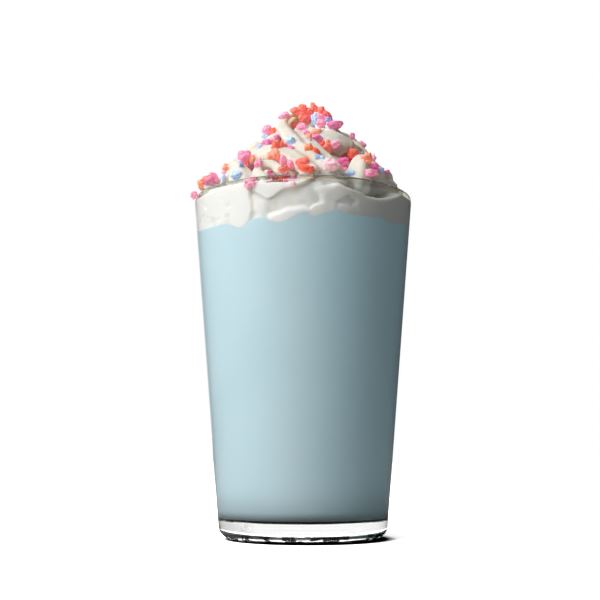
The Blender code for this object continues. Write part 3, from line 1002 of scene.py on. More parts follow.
# Places of the front painted with tan shade, where the cream lies in shadow: pixel across, pixel down,
# half width, half height, amount
PAINTED_SHADE_PLACES: list[tuple] = [
    (293, 119, 8, 6, 0.7), (286, 121, 5, 4, 0.4), (330, 145, 12, 6, 0.3), (347, 143, 6, 9, 0.45),
    (333, 154, 13, 4, 0.3), (360, 147, 9, 10, 0.7), (398, 191, 9, 7, 0.9), (266, 169, 9, 4, 0.35),
    (311, 152, 7, 10, 0.35), (303, 158, 10, 5, 0.4), (285, 152, 8, 5, 0.25), (255, 160, 8, 5, 0.3),
    (341, 168, 6, 6, 0.5), (368, 164, 5, 5, 0.4), (386, 178, 3, 3, 1.0),
]

# Lobes of cream at the front wall: distance of the middle from the wall in mm, width of the rounded
# edge in mm, and the outline in the photo's pixels
WALL_LOBES: dict[str, tuple] = {
    "left mass": (0.0, 1.6, [
        (175, 207), (190, 199), (200, 193.5), (215, 188), (230, 184.8), (247, 183), (252, 190), (250, 205),
        (240, 214), (228, 217), (221, 218), (214, 220), (207, 217), (194, 214), (180, 213),
    ]),
    "under left": (0.35, 2.0, [
        (180, 210), (205, 214), (228, 214), (240, 222), (238, 232), (220, 236), (200, 240), (180, 244),
    ]),
    "long tongue": (0.0, 2.2, [
        (238, 186), (247, 191), (252, 198), (253.8, 206), (253, 218), (250, 225), (242.5, 232), (234, 232),
        (230, 224), (229, 214), (231, 204), (233, 194),
    ]),
    "smooth fold": (0.5, 6.0, [
        (243, 186), (252, 188), (262, 195), (268, 202), (272, 209), (272.5, 217), (270, 226), (252, 226),
        (250, 212), (249, 200), (245, 192),
    ]),
    "above the flap": (2.4, 2.0, [
        (290, 168), (350, 168), (350, 184), (328, 186), (304, 186), (290, 184),
    ]),
    "shallow hollow": (1.1, 2.4, [
        (258, 188), (275, 186), (300, 181), (322, 180), (326, 190), (322, 206), (290, 212), (262, 214),
    ]),
    "flap": (0.0, 0.9, [
        (240, 184), (252, 182.4), (262, 181.8), (276, 181.4), (290, 181), (300, 179.6), (308, 176.5),
        (314, 174.5), (317, 175.5), (307, 182), (297, 187.6), (289, 189.4), (282.5, 190.6), (276, 194.4),
        (272.5, 197.8), (267.5, 199.6), (259, 195), (250, 189),
    ]),
    "bottom tongue": (0.0, 3.2, [
        (267, 216), (271, 212.5), (280, 209.6), (292.5, 206.6), (303, 205.4), (310, 209), (313, 216),
        (305, 222), (290, 228), (276, 228), (268, 222),
    ]),
    "right smear": (0.0, 2.6, [
        (315, 188.8), (320, 186.3), (332.5, 184), (339, 183.6), (347.5, 187), (357.5, 190), (365, 195),
        (368, 203), (360, 205), (352, 200), (344, 199.5), (340, 203), (338, 210), (330, 217), (318, 222),
        (309, 219), (308, 213.8), (309.4, 209.6), (313.8, 205), (318.6, 202.5), (320.4, 198.8),
        (318.6, 193.8),
    ]),
    "behind the petal": (0.6, 3.0, [
        (330, 196), (342, 190), (356, 192), (366, 198), (366, 212), (356, 216), (342, 212), (334, 206),
    ]),
    "petal": (0.0, 1.8, [
        (336, 212), (341, 216), (347.5, 219), (355, 218.5), (358, 214), (356.5, 209.6), (352.5, 206.8),
        (348.4, 204.4), (341.3, 202), (337, 204),
    ]),
    "right mass": (0.0, 2.6, [
        (352, 192), (357.5, 190), (362.5, 194.2), (367.5, 195), (372.5, 195.6), (377.5, 197.8), (382.5, 198),
        (387.5, 197.8), (393.8, 195.8), (397.5, 191), (401, 185), (425, 186), (425, 230), (400, 232),
        (380, 228), (366, 226), (356, 220), (352, 210), (350, 205.6), (354, 201.6), (357, 197),
    ]),
}

# Lobes that close the view at the glass's sides, with outlines as angle in degrees and height in mm
SIDE_LOBES: list[tuple] = [
    (0.2, 1.2, [(82, 108), (81, 120), (84, 126), (92, 130), (125, 130), (131, 118), (125, 108)]),
    (0.4, 1.2, [(278, 108), (279, 120), (276, 126), (268, 129), (240, 129), (236, 118), (240, 108)]),
]

# Height of the shake's edge at the front wall: angle in degrees and height in mm
SHORE: list[tuple] = [
    (-85, 115.1), (-61, 113.5), (-43, 113.1), (-37, 110.8), (-33, 110.9), (-28, 113.3), (-21, 113.9),
    (-16, 111.9), (-13, 111.3), (-9.6, 112), (-7, 112.8), (-3.7, 114.2), (2.3, 115.3), (3.4, 113.8),
    (5, 113.2), (6.7, 113.6), (10, 114.7), (15, 115.7), (18, 116.4), (21, 115.3), (24, 115), (40, 115),
    (44, 115.8), (48, 115), (54, 114.4), (59, 115), (64, 116.6), (75, 116),
]


@dataclass
class WhippedCream:
    """Heap of folded cream that fills the glass's top and stands over it.

    Sizes are in metres where MM stands with them. Those of the back's folds and sheet, of the recess's
    rise and of the skin's waves are in mm, as in the tables above.
    """

    glass: Tumbler
    shake: Shake
    viewpoint: Viewpoint
    heap_height: float = 37.5 * MM
    heap_power: float = 0.85
    core_depth: float = 4.0 * MM
    core_top: float = 27.5 * MM
    core_share: float = 0.9
    core_rings: int = 23
    core_sides: int = 96
    waist_depth: float = 6.0 * MM
    waist_under: tuple = (2 * MM, 9 * MM)
    wall_recess: float = 3.2 * MM
    bottom: float = 106.0 * MM
    flatness: float = 0.72
    sink: float = 0.85
    wall_recess_low: float = 2.3 * MM
    wall_recess_high: float = 8.0 * MM
    recess_rise: Span = (120.5, 125.0)
    lobe_edge: float = 1.2 * MM
    band_bottom: float = 109.0 * MM
    band_top: float = 127.4 * MM
    band_depth: float = 12.0 * MM
    back_seed: int = 23
    back_tiers: tuple = ((135, 5, 4.6), (144.5, 4, 4.4), (153, 2, 3.8))
    back_from: float = 62.0
    back_to: float = 288.0
    back_overlap: float = 12.0
    back_turn: float = 8.0
    back_rise: Span = (1.5, 4.5)
    back_drop: Span = (5, 8)
    back_shares: tuple = (0.0, 0.3, 0.65, 1.0)
    back_swell: Span = (0.65, 0.5)
    back_swell_turn: Span = (0.15, 0.7)
    sheet_top: float = 123.2
    sheet_foot: float = 104.0
    sheet_from: int = 84
    sheet_to: int = 276
    sheet_step: int = 6
    sheet_edge: float = 2.0
    sheet_waves: tuple = ((1.6, 4), (0.9, 9))
    flutes: int = 5
    flute_depth: float = 0.075
    flute_twist: float = 0.5
    end_angles: tuple = (75, 55, 35, 15)
    voxel: float = 0.45 * MM
    soft_share: float = 0.5
    soft_rounds: int = 3
    wall_reach: float = 0.1 * MM
    lip_gap: float = 0.25 * MM
    lip_under: float = 2 * MM
    lip_bend: float = 0.8 * MM
    lip_over: float = 0.2 * MM
    lip_flare: float = 1.6
    swell: Span = (6.5, 0.55)
    ripple: Span = (2.4, 0.16)
    ripple_shift: Point = (7, 3, 1)
    drag: tuple = (3.0, 1.3, 0.10)
    hollow_depth: float = 0.5 * MM
    hollow_rounds: tuple = (30, 240)
    hollow_share: float = 0.45
    painted_shade_reach: float = 1.15
    middle_height: float = 114.0
    front_to: float = 417.0 * MM

    def heap_radius(self, z: float) -> float:
        """Radius of the heap's outside at a height above the rim."""
        share = max(0.0, 1.0 - max(0.0, z - self.glass.height) / self.heap_height)
        return self.glass.rim_radius * share**self.heap_power

    def out(self, point: Vector, name: str) -> Vector:
        """Direction out of the heap at a point of a fold."""
        return (point - Vector(FACING.get(name, (0.0, 0.0, self.middle_height))) * MM).normalized()

    def core(self) -> bpy.types.Object:
        """Build the plain heap under the folds.

        Returns:
            The closed heap.
        """
        rim_inside = self.glass.inner(self.glass.height) - self.wall_recess
        profile = [(0.0, self.glass.height + self.core_top)]
        for share in np.linspace(0, self.core_share, self.core_rings)[1:]:
            z = self.glass.height + self.core_top * (1 - share)
            radius = self.heap_radius(z + self.core_depth) - self.core_depth
            profile.append((min(rim_inside, radius), z))
        waist = rim_inside - self.waist_depth
        profile += [(waist, self.glass.height - under) for under in self.waist_under]
        profile.append((self.glass.inner(self.bottom) - self.wall_recess, self.bottom))
        profile.append((0.0, self.bottom))
        return turn("core", profile, self.core_sides)

    def sweep(self, name: str, crest: list, sides: int = 30, steps: int = 10) -> bpy.types.Object:
        """Sweep one fold along its crest, its flat side on the heap, with rounded ends.

        Args:
            name: Name of the fold.
            crest: Points of the crest with the half width at each, in mm.
            sides: Corners of the section.
            steps: Sections between two points of the crest.

        Returns:
            The closed fold.
        """
        knots = np.array(crest, float) * MM
        padded = np.vstack([2 * knots[0] - knots[1], knots, 2 * knots[-1] - knots[-2]])
        line = []
        for corners in zip(padded, padded[1:], padded[2:], padded[3:]):
            line += [between(*corners, t) for t in np.arange(steps) / steps]
        line = np.array([*line, knots[-1]])
        rings = []
        for (x, y, z, half_width), tangent in zip(line, np.gradient(line[:, :3], axis=0)):
            place, along = Vector((x, y, z)), Vector(tangent).normalized()
            out = self.out(place, name)
            out = (out - along * out.dot(along)).normalized()
            side = along.cross(out)
            thickness = half_width * self.flatness
            centre = place - out * thickness * self.sink
            rings.append((centre, along, side * half_width, out * thickness))
        caps = np.radians(self.end_angles)
        sections = [(rings[0], -angle) for angle in caps] + [(ring, 0.0) for ring in rings]
        sections += [(rings[-1], angle) for angle in caps[::-1]]
        points = []
        for (centre, along, side, out), angle in sections:
            centre = centre + along * out.length * math.sin(angle)
            side, out = side * math.cos(angle), out * math.cos(angle)
            twist = self.flute_twist * len(points) / sides / steps
            for a in np.arange(sides) * math.tau / sides:
                swell = 1 + self.flute_depth * math.cos(self.flutes * a + twist)
                points.append(centre + (side * math.cos(a) + out * math.sin(a)) * swell)
        faces = [tuple(range(sides)), tuple(range(len(points) - sides, len(points)))[::-1]]
        faces += [face[::-1] for face in quads(len(sections), sides)]
        return show_mesh(name, np.array([tuple(p) for p in points]), faces)

    def back_folds(self) -> dict[str, list]:
        """Work out the folds round the back: tiers that each sweep part of a turn and sink.

        Returns:
            Crests by name.
        """
        draw = random.Random(self.back_seed)
        thin, fuller = self.back_swell
        swell_from, swell_over = self.back_swell_turn
        folds = {}
        for tier, (height, count, half_width) in enumerate(self.back_tiers):
            span = (self.back_to - self.back_from) / count
            for number in range(count):
                start = self.back_from + span * number + draw.uniform(-self.back_turn, self.back_turn)
                top = height + draw.uniform(*self.back_rise)
                drop = draw.uniform(*self.back_drop)
                crest = []
                for share in self.back_shares:
                    z = top - drop * share
                    angle = start + (span + self.back_overlap) * share
                    place = at_angle(angle, self.heap_radius(z * MM), z * MM) / MM
                    rounding = math.sin(math.pi * (swell_from + swell_over * share))
                    swell = half_width * (thin + fuller * rounding)
                    crest.append((*place, swell))
                folds[f"back_{tier}_{number}"] = crest
        return folds

    def lobe_outlines(self) -> list[tuple]:
        """Put the outlines of the lobes at the wall on the unrolled wall, with one wavy sheet at the back.

        Returns:
            For each lobe its distance from the wall and edge width in mm, and its outline as points of
            angle in degrees and height in mm.
        """
        lobes = []
        for rest, edge, outline in WALL_LOBES.values():
            lobes.append((rest, edge, [self.viewpoint.on_wall(self.glass, px, py) for px, py in outline]))
        sheet = []
        for angle in range(self.sheet_from, self.sheet_to + 1, self.sheet_step):
            wave = sum(high * math.sin(math.radians(angle * often)) for high, often in self.sheet_waves)
            sheet.append((angle, self.sheet_top + wave))
        sheet += [(self.sheet_to, self.sheet_foot), (self.sheet_from, self.sheet_foot)]
        return [*lobes, (0.0, self.sheet_edge, sheet), *SIDE_LOBES]

    def wall_depth(self, angles: np.ndarray, heights: np.ndarray) -> np.ndarray:
        """Work out how far the cream stays from the wall.

        Args:
            angles: Angles round the glass in degrees.
            heights: Heights in mm, as many as the angles.

        Returns:
            Distances from the wall in metres.
        """
        per_degree = self.glass.inner(self.shake.level) / MM * math.radians(1)
        low, high = self.recess_rise
        rise = np.clip((heights - low) / (high - low), 0, 1)
        depth = self.wall_recess_low + (self.wall_recess_high - self.wall_recess_low) * rise
        for rest, edge, outline in self.lobe_outlines():
            corners = np.array(outline)
            middle = corners[:, 0].mean()
            corners[:, 0] = (corners[:, 0] - middle) * per_degree
            corners = rounded(corners)
            across = ((angles - middle + 180) % 360 - 180) * per_degree
            inside, away = outline_distance(across, heights, corners)
            share = np.clip(away / edge, 0, 1)
            lobe = rest * MM + self.lobe_edge * (1 - np.sqrt(1 - (1 - share) ** 2))
            depth = np.where(inside, np.minimum(depth, lobe), depth)
        return depth

    def band(self, columns: int = 900, rows: int = 52) -> bpy.types.Object:
        """Build the ring of cream behind the wall, as a height field round the glass.

        Args:
            columns: Places round the glass.
            rows: Places up the wall.

        Returns:
            The closed ring.
        """
        angles = np.arange(columns) * 360 / columns - 90
        grid = np.meshgrid(angles, np.linspace(self.band_bottom, self.band_top, rows))
        turned, heights = (values.ravel() for values in grid)
        inner_wall = np.array([self.glass.inner(z) for z in heights])
        outer = inner_wall + self.wall_reach * 3 - self.wall_depth(turned, heights / MM)
        inner = np.full(columns, outer.min() - self.band_depth)
        ends = [around(angles, inner, np.full(columns, z)) for z in (self.band_top, self.band_bottom)]
        points = np.vstack([around(turned, outer, heights), *ends])
        faces = [(face[0], *face[:0:-1]) for face in quads(rows + 2, columns)]
        last = (rows + 1) * columns
        for i in range(columns):
            j = (i + 1) % columns
            faces.append((last + i, last + j, j, i))
        return show_mesh("band", points, faces)

    def limit(self, z: float) -> float:
        """Find the largest radius that the cream may have: just into the wall, and free over the lip.

        Args:
            z: Height.

        Returns:
            The radius.
        """
        over = z - self.glass.height
        wall = self.glass.inner(z) + self.wall_reach
        inside_lip = self.glass.inner(self.glass.height) - self.lip_gap
        if over > self.lip_over:
            return inside_lip + (over - self.lip_over) * self.lip_flare
        share = min(1.0, max(0.0, (over + self.lip_under) / self.lip_bend))
        return wall + (inside_lip - wall) * share

    def press(self, cream: bpy.types.Object) -> None:
        """Press the cream flat where it would go through the glass.

        Args:
            cream: The cream.
        """
        for vertex in cream.data.vertices:
            radius = vertex.co.xy.length
            limit = self.limit(vertex.co.z)
            if radius > limit:
                vertex.co.x *= limit / radius
                vertex.co.y *= limit / radius

    def merge(self, lumps: list[bpy.types.Object]) -> bpy.types.Object:
        """Merge overlapping lumps into one soft skin.

        Args:
            lumps: The closed forms, which are removed.

        Returns:
            The merged form.
        """
        bm = bmesh.new()
        for lump in lumps:
            bm.from_mesh(lump.data)
            bpy.data.objects.remove(lump)
        mesh = bpy.data.meshes.new("whipped_cream")
        bm.to_mesh(mesh)
        bm.free()
        cream = bpy.data.objects.new("whipped_cream", mesh)
        bpy.context.scene.collection.objects.link(cream)
        remesh = cream.modifiers.new("one skin", "REMESH")
        remesh.mode = "VOXEL"
        remesh.voxel_size = self.voxel
        soften = cream.modifiers.new("soften", "SMOOTH")
        soften.factor = self.soft_share
        soften.iterations = self.soft_rounds
        depsgraph = bpy.context.evaluated_depsgraph_get()
        skin = bpy.data.meshes.new_from_object(cream.evaluated_get(depsgraph))
        cream.modifiers.clear()
        cream.data = skin
        return cream

    def roughen(self, cream: bpy.types.Object) -> None:
        """Give the skin the low waves and drag marks of cream that was piped and has settled.

        Args:
            cream: The cream.
        """
        turn_scale, length, drag_depth = self.drag
        normals = [v.normal.copy() for v in cream.data.vertices]
        for vertex, normal in zip(cream.data.vertices, normals):
            place = vertex.co / MM
            wave = noise.noise(place / self.swell[0]) * self.swell[1]
            wave += noise.noise(place / self.ripple[0] + Vector(self.ripple_shift)) * self.ripple[1]
            angle = math.atan2(place.x, -place.y)
            stream = Vector((angle * turn_scale, place.z / length, place.xy.length / length))
            wave += noise.noise(stream) * drag_depth
            vertex.co += normal * wave * MM

    def paint_hollow_shade(self, cream: bpy.types.Object) -> None:
        """Store a painted shade mask from 0 to 1: how far each point lies below its smoothed surroundings,
        and the places of the front painted with tan shade.

        Args:
            cream: The cream.
        """
        mesh = cream.data
        count = len(mesh.vertices)
        points, normals = np.empty((2, count * 3), np.float32)
        mesh.vertices.foreach_get("co", points)
        mesh.vertices.foreach_get("normal", normals)
        points, normals = points.reshape(-1, 3).astype(float), normals.reshape(-1, 3)
        edges = np.empty(len(mesh.edges) * 2, np.int32)
        mesh.edges.foreach_get("vertices", edges)
        a, b = edges.reshape(-1, 2).T
        shares = np.bincount(a, minlength=count) + np.bincount(b, minlength=count)
        smooth = points.copy()
        hollow = np.zeros(count)
        for number in range(1, self.hollow_rounds[-1] + 1):
            total = np.zeros_like(smooth)
            for axis in range(3):
                column = smooth[:, axis]
                total[:, axis] += np.bincount(a, column[b], count) + np.bincount(b, column[a], count)
            smooth = total / shares[:, None]
            if number in self.hollow_rounds:
                below = ((smooth - points) * normals).sum(axis=1)
                reach = self.hollow_depth * math.sqrt(number / self.hollow_rounds[0])
                hollow += np.clip(below / reach, 0, 1) * self.hollow_share
        across, down, depth = self.viewpoint.pixels(points)
        front = depth < self.front_to
        # Painted tan shade at the listed places of the front
        for px, py, half_width, half_height, amount in PAINTED_SHADE_PLACES:
            away = np.hypot((across - px) / half_width, (down - py) / half_height)
            hollow += front * amount * np.clip(self.painted_shade_reach - away, 0, 1)
        attribute = mesh.attributes.new("hollow", "FLOAT", "POINT")
        attribute.data.foreach_set("value", np.clip(hollow, 0, 1).astype(np.float32))

    def build(self, finish: CreamFinish) -> bpy.types.Object:
        """Build and dress the cream.

        Args:
            finish: The cream's finish.

        Returns:
            The cream, which with the crumbs stands for the node cream.
        """
        lumps = [self.core()]
        lumps += [self.sweep(name, crest) for name, crest in {**FRONT_FOLDS, **self.back_folds()}.items()]
        lumps.append(self.band())
        cream = self.merge(lumps)
        self.roughen(cream)
        self.press(cream)
        self.paint_hollow_shade(cream)
        cream.data.shade_smooth()
        cream.data.materials.append(finish.make())
        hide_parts("cream")
        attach(cream, BODY)
        return cream


# The candy crumbs

# Crumbs in the photo by colour: pixel across, pixel down, width, height, and a turn in degrees if any
SEEN_CRUMBS: dict[Candy, list[tuple]] = {
    Candy.CORAL: [
        (296, 111, 11, 9), (303, 110, 10, 10), (309, 111.5, 10, 9), (314, 107.5, 5.5, 11, 30),
        (302, 116, 9, 9), (293.6, 125.4, 6.5, 6.5), (321, 110.3, 8, 7), (273.5, 132.6, 7, 9),
        (277, 145.5, 12, 11), (283, 142, 7, 4, 35), (315.4, 151.3, 8, 9), (324.8, 148.7, 12, 14),
        (353, 153, 12, 10), (302, 161.2, 14, 8), (306, 168.5, 16, 8, -8), (283, 169, 11, 7),
    ],
    Candy.ORANGE: [
        (315, 132, 12, 7, 20), (309, 137.5, 6, 8), (308, 147.3, 9, 7), (366.3, 158.8, 12, 12),
        (273.5, 156.7, 12, 14), (252, 160, 5, 9), (226.8, 167.7, 10, 10), (282, 177, 7, 6),
        (310.6, 177, 7, 6), (201.5, 184.7, 7, 11), (207, 178.5, 10, 7, 20),
    ],
    Candy.RED: [
        (306, 119.5, 10, 9), (327, 114, 10, 5, -35), (286.4, 145.5, 8, 4.5, -30), (349.7, 160, 7, 8),
        (375, 163.5, 3.5, 3.5), (245.8, 164.3, 8, 7), (277, 177, 6, 8), (288, 176, 6, 7),
    ],
    Candy.PINK: [
        (283.8, 115.6, 12, 7, 20), (322, 116.5, 11, 8, -30), (321, 124, 9, 9), (302, 127.5, 10, 10),
        (267.7, 130.4, 12, 11), (306.5, 133.5, 7, 8), (335.5, 144.2, 10, 7.5),
        (283, 160, 6.5, 12, -12), (291, 164.7, 8, 10, 15), (244.5, 156.7, 14, 14), (258.3, 163.8, 8, 10),
        (224, 173, 5, 5), (213.6, 176.7, 13, 6.5, -50), (373.4, 158.8, 5.5, 8), (345.3, 169.6, 4.5, 4.5),
        (250.7, 183, 12, 12), (194.4, 194.6, 8, 8), (369.8, 173, 14, 8), (270, 178, 6, 8),
    ],
    Candy.MAGENTA: [
        (309, 118, 5, 5), (334, 125, 15, 10), (276, 138.4, 6, 7), (266.3, 144.6, 12, 11),
        (292.7, 148.2, 11, 4, -28), (316.8, 139.7, 12, 11), (352.5, 137, 5, 9),
        (373.4, 167.3, 13, 8, -15), (386.8, 172, 6.5, 4.5), (250.7, 168, 8, 5), (271, 172, 8, 8),
        (286.5, 182, 8, 7), (208.7, 182, 10, 10), (341.8, 163, 12, 12), (293.7, 179, 6.5, 9),
    ],
    Candy.ROSE: [(271, 139, 7, 5), (331, 164.7, 17, 13, -10), (293, 184, 5, 5)],
    Candy.SKY: [
        (314, 120, 7, 12), (265.4, 136.6, 8, 5), (259.6, 147, 5, 6), (290.4, 141.5, 9, 9),
        (322, 157.6, 6, 5), (349.7, 172.7, 10, 5), (223, 178, 4.5, 9), (236.4, 175.3, 12, 9),
    ],
    Candy.VIOLET: [
        (329, 119, 7, 7), (310.5, 140.2, 3, 3), (317.7, 156.7, 6, 5), (353, 155.7, 3, 2.4),
        (359, 152.3, 3, 2.4), (361.8, 154, 5, 5), (381.4, 170.4, 6, 7), (241.3, 165.2, 4.5, 8),
    ],
}

# How often each colour comes up where the photo shows nothing
CANDY_SHARES: dict[Candy, float] = {
    Candy.CORAL: 0.2, Candy.ORANGE: 0.14, Candy.RED: 0.08, Candy.PINK: 0.22,
    Candy.MAGENTA: 0.16, Candy.ROSE: 0.04, Candy.SKY: 0.09, Candy.VIOLET: 0.07,
}


@dataclass
class CrumbTopping:
    """Candy crumbs on the cream: the photo's, and others like them where it doesn't look."""

    cream: bpy.types.Object
    glass: Tumbler
    viewpoint: Viewpoint
    facets: int = 12
    crispness: float = 16.0
    sink: float = 0.30
    clumped_from: float = 9.5
    hidden_count: int = 110
    largest: float = 5.4 * MM
    smallest: float = 1.9 * MM
    seed: int = 41
    facet_heights: Span = (0.74, 1.0)
    facet_lean: float = 0.02
    grain_shift: Span = (-50, 50)
    even_facets: int = 8
    even_turn: float = 2.4
    swell: float = 1.03
    lumpiness: tuple = ((1.6, 0.34), (4.5, 0.07), (11, 0.025))
    seen_thickness: Span = (0.8, 0.95)
    lumps: int = 2
    lump_size: Span = (0.38, 0.55)
    lump_out: float = 1.05
    lump_forward: float = 0.35
    hidden_angles: Span = (82, 278)
    hidden_heights: Span = (0.5 * MM, 35 * MM)
    hidden_tries: int = 12
    hidden_thinning: Span = (34 * MM, 0.6)
    hidden_distance: float = 90 * MM
    hidden_slopes: Span = (1.6, 0.6)
    hidden_drop: float = 60 * MM
    size_power: float = 1.3
    hidden_widths: Span = (0.7, 0.95)
    hidden_depths: Span = (0.6, 0.8)
    lip_clearance: Span = (0.5, 0.6)
    spacing: float = 0.8
    seen_range: Span = (0.3, 0.43)
    seen_steps: int = 260
    made: dict = field(default_factory=dict)
    taken: list = field(default_factory=list)

    def __post_init__(self) -> None:
        """Prepare the cream's surface, the crumb's directions and the draws."""
        bm = bmesh.new()
        bm.from_mesh(self.cream.data)
        self.surface = BVHTree.FromBMesh(bm)
        bm.free()
        ball = bmesh.new()
        bmesh.ops.create_icosphere(ball, subdivisions=4, radius=1.0)
        self.directions = np.array([v.co[:] for v in ball.verts])
        self.ball_faces = [tuple(v.index for v in f.verts) for f in ball.faces]
        ball.free()
        self.draw = random.Random(self.seed)

    def grain(self) -> np.ndarray:
        """Form one crumb: a broken lump with worn facets and a grainy skin.

        Returns:
            Its points, within about one unit of its middle.
        """
        normals = np.array([[self.draw.gauss(0, 1) for _ in range(3)] for _ in range(self.facets)])
        normals /= np.linalg.norm(normals, axis=1)[:, None]
        even = []
        for i in range(self.even_facets):
            z = (i + 0.5) / self.even_facets * 2 - 1
            reach, angle = math.sqrt(1 - z * z), self.even_turn * i
            even.append((reach * math.cos(angle), reach * math.sin(angle), z))
        normals = np.vstack([normals, even])
        heights = np.array([self.draw.uniform(*self.facet_heights) for _ in normals])
        lean = np.clip(self.directions @ normals.T, self.facet_lean, None) / heights
        radius = (lean**self.crispness).sum(axis=1) ** (-1 / self.crispness)
        shift = Vector([self.draw.uniform(*self.grain_shift) for _ in range(3)])
        for number, direction in enumerate(self.directions):
            place = Vector(direction)
            rough = sum(noise.noise(place * fine + shift) * deep for fine, deep in self.lumpiness)
            radius[number] *= self.swell + rough
        return self.directions * radius[:, None]

    def add(self, candy: Candy, centre: Vector, axes: Matrix) -> None:
        """Add one crumb to its colour's piece.

        Args:
            candy: Its colour.
            centre: Its middle.
            axes: Matrix whose columns are its half sizes along three directions.
        """
        points, faces = self.made.setdefault(candy, ([], []))
        first = sum(len(p) for p in points)
        points.append(self.grain() @ np.array(axes).T + np.array(centre))
        faces += [tuple(first + i for i in face) for face in self.ball_faces]
        self.taken.append((centre, max(column.length for column in axes.col)))

    def place_seen(self, candy: Candy, spot: tuple) -> None:
        """Place a crumb that the photo shows where its ray meets the cream.

        Args:
            candy: Its colour.
            spot: Its pixel, width and height in pixels, and a turn in degrees if any.
        """
        px, py, width, height, *turned = spot
        camera = Vector(self.viewpoint.place)
        ray = self.viewpoint.ray(px, py)
        hit = self.surface.ray_cast(camera, ray.normalized())[0]
        if hit is None:
            depths = np.linspace(*self.seen_range, self.seen_steps, endpoint=False)
            along = [camera + ray * depth for depth in depths]
            hit = min(along, key=lambda point: self.surface.find_nearest(point)[3])
        scale = (hit - camera).dot(ray) / ray.length_squared / self.viewpoint.focal_pixels
        half_width, half_height = width / 2 * scale, height / 2 * scale
        half_depth = (half_width + half_height) / 2 * self.draw.uniform(*self.seen_thickness)
        view = ray.normalized()
        across = view.cross(Vector((0, 0, 1))).normalized()
        up = across.cross(view)
        spin = Matrix.Rotation(math.radians(sum(turned)), 3, -view)
        columns = [spin @ across * half_width, view * half_depth, spin @ up * half_height]
        centre = hit - view * half_depth * (1 - self.sink * 2)
        self.add(candy, centre, Matrix(columns).transposed())
        if max(width, height) < self.clumped_from:
            return
        for _ in range(self.lumps):
            angle = self.draw.uniform(0, math.tau)
            aside = spin @ (across * half_width * math.cos(angle) + up * half_height * math.sin(angle))
            share = self.draw.uniform(*self.lump_size)
            lump = Matrix([column * share for column in columns]).transposed()
            aside *= (1 - share) * self.lump_out
            self.add(candy, centre + aside - view * half_depth * self.lump_forward, lump)

    def place_hidden(self) -> None:
        """Scatter crumbs over the sides and back, where the photo shows none."""
        names = list(CANDY_SHARES)
        weights = [CANDY_SHARES[name] for name in names]
        rim = self.glass.height
        thin_height, thin_share = self.hidden_thinning
        start_slope, end_slope = self.hidden_slopes
        lip_share, over_share = self.lip_clearance
        placed = 0
        for _ in range(self.hidden_count * self.hidden_tries):
            if placed >= self.hidden_count:
                break
            angle = self.draw.uniform(*self.hidden_angles)
            z = self.draw.uniform(*self.hidden_heights)
            if self.draw.random() < z / thin_height * thin_share:
                continue
            outside = at_angle(angle, self.hidden_distance, rim + z * start_slope)
            inward = (Vector((0, 0, rim)) + Vector((0, 0, z * end_slope)) - outside).normalized()
            hit, normal, _, _ = self.surface.ray_cast(outside, inward)
            if hit is None or hit.z < rim + self.hidden_heights[0] or hit.z < outside.z - self.hidden_drop:
                continue
            size = self.smallest + (self.largest - self.smallest) * self.draw.random() ** self.size_power
            lip = self.glass.inner(rim) - hit.xy.length
            if lip < size * lip_share and hit.z < rim + size * over_share:
                continue
            if any((hit - other).length < (size / 2 + reach) * self.spacing for other, reach in self.taken):
                continue
            face_out = normal.to_track_quat("Z", "X").to_matrix()
            spin = face_out @ Matrix.Rotation(self.draw.uniform(0, math.tau), 3, "Z")
            shares = [1, self.draw.uniform(*self.hidden_widths), self.draw.uniform(*self.hidden_depths)]
            half = [size / 2 * share for share in shares]
            candy = self.draw.choices(names, weights)[0]
            self.add(candy, hit + normal * half[2] * (1 - self.sink * 2), spin @ Matrix.Diagonal(half))
            placed += 1

    def build(self, effects: Effects) -> list[bpy.types.Object]:
        """Build and dress the crumbs, one piece for each colour.

        Args:
            effects: The shared node groups by name.

        Returns:
            The pieces.
        """
        for candy, spots in SEEN_CRUMBS.items():
            for spot in spots:
                self.place_seen(candy, spot)
        self.place_hidden()
        pieces = []
        for candy, (points, faces) in self.made.items():
            piece = show_mesh(f"crumbs_{candy.name.lower()}", np.vstack(points), faces)
            piece.data.materials.append(CrumbFinish(effects, candy).make())
            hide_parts("cream")
            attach(piece, BODY)
            pieces.append(piece)
        return pieces


# The studio


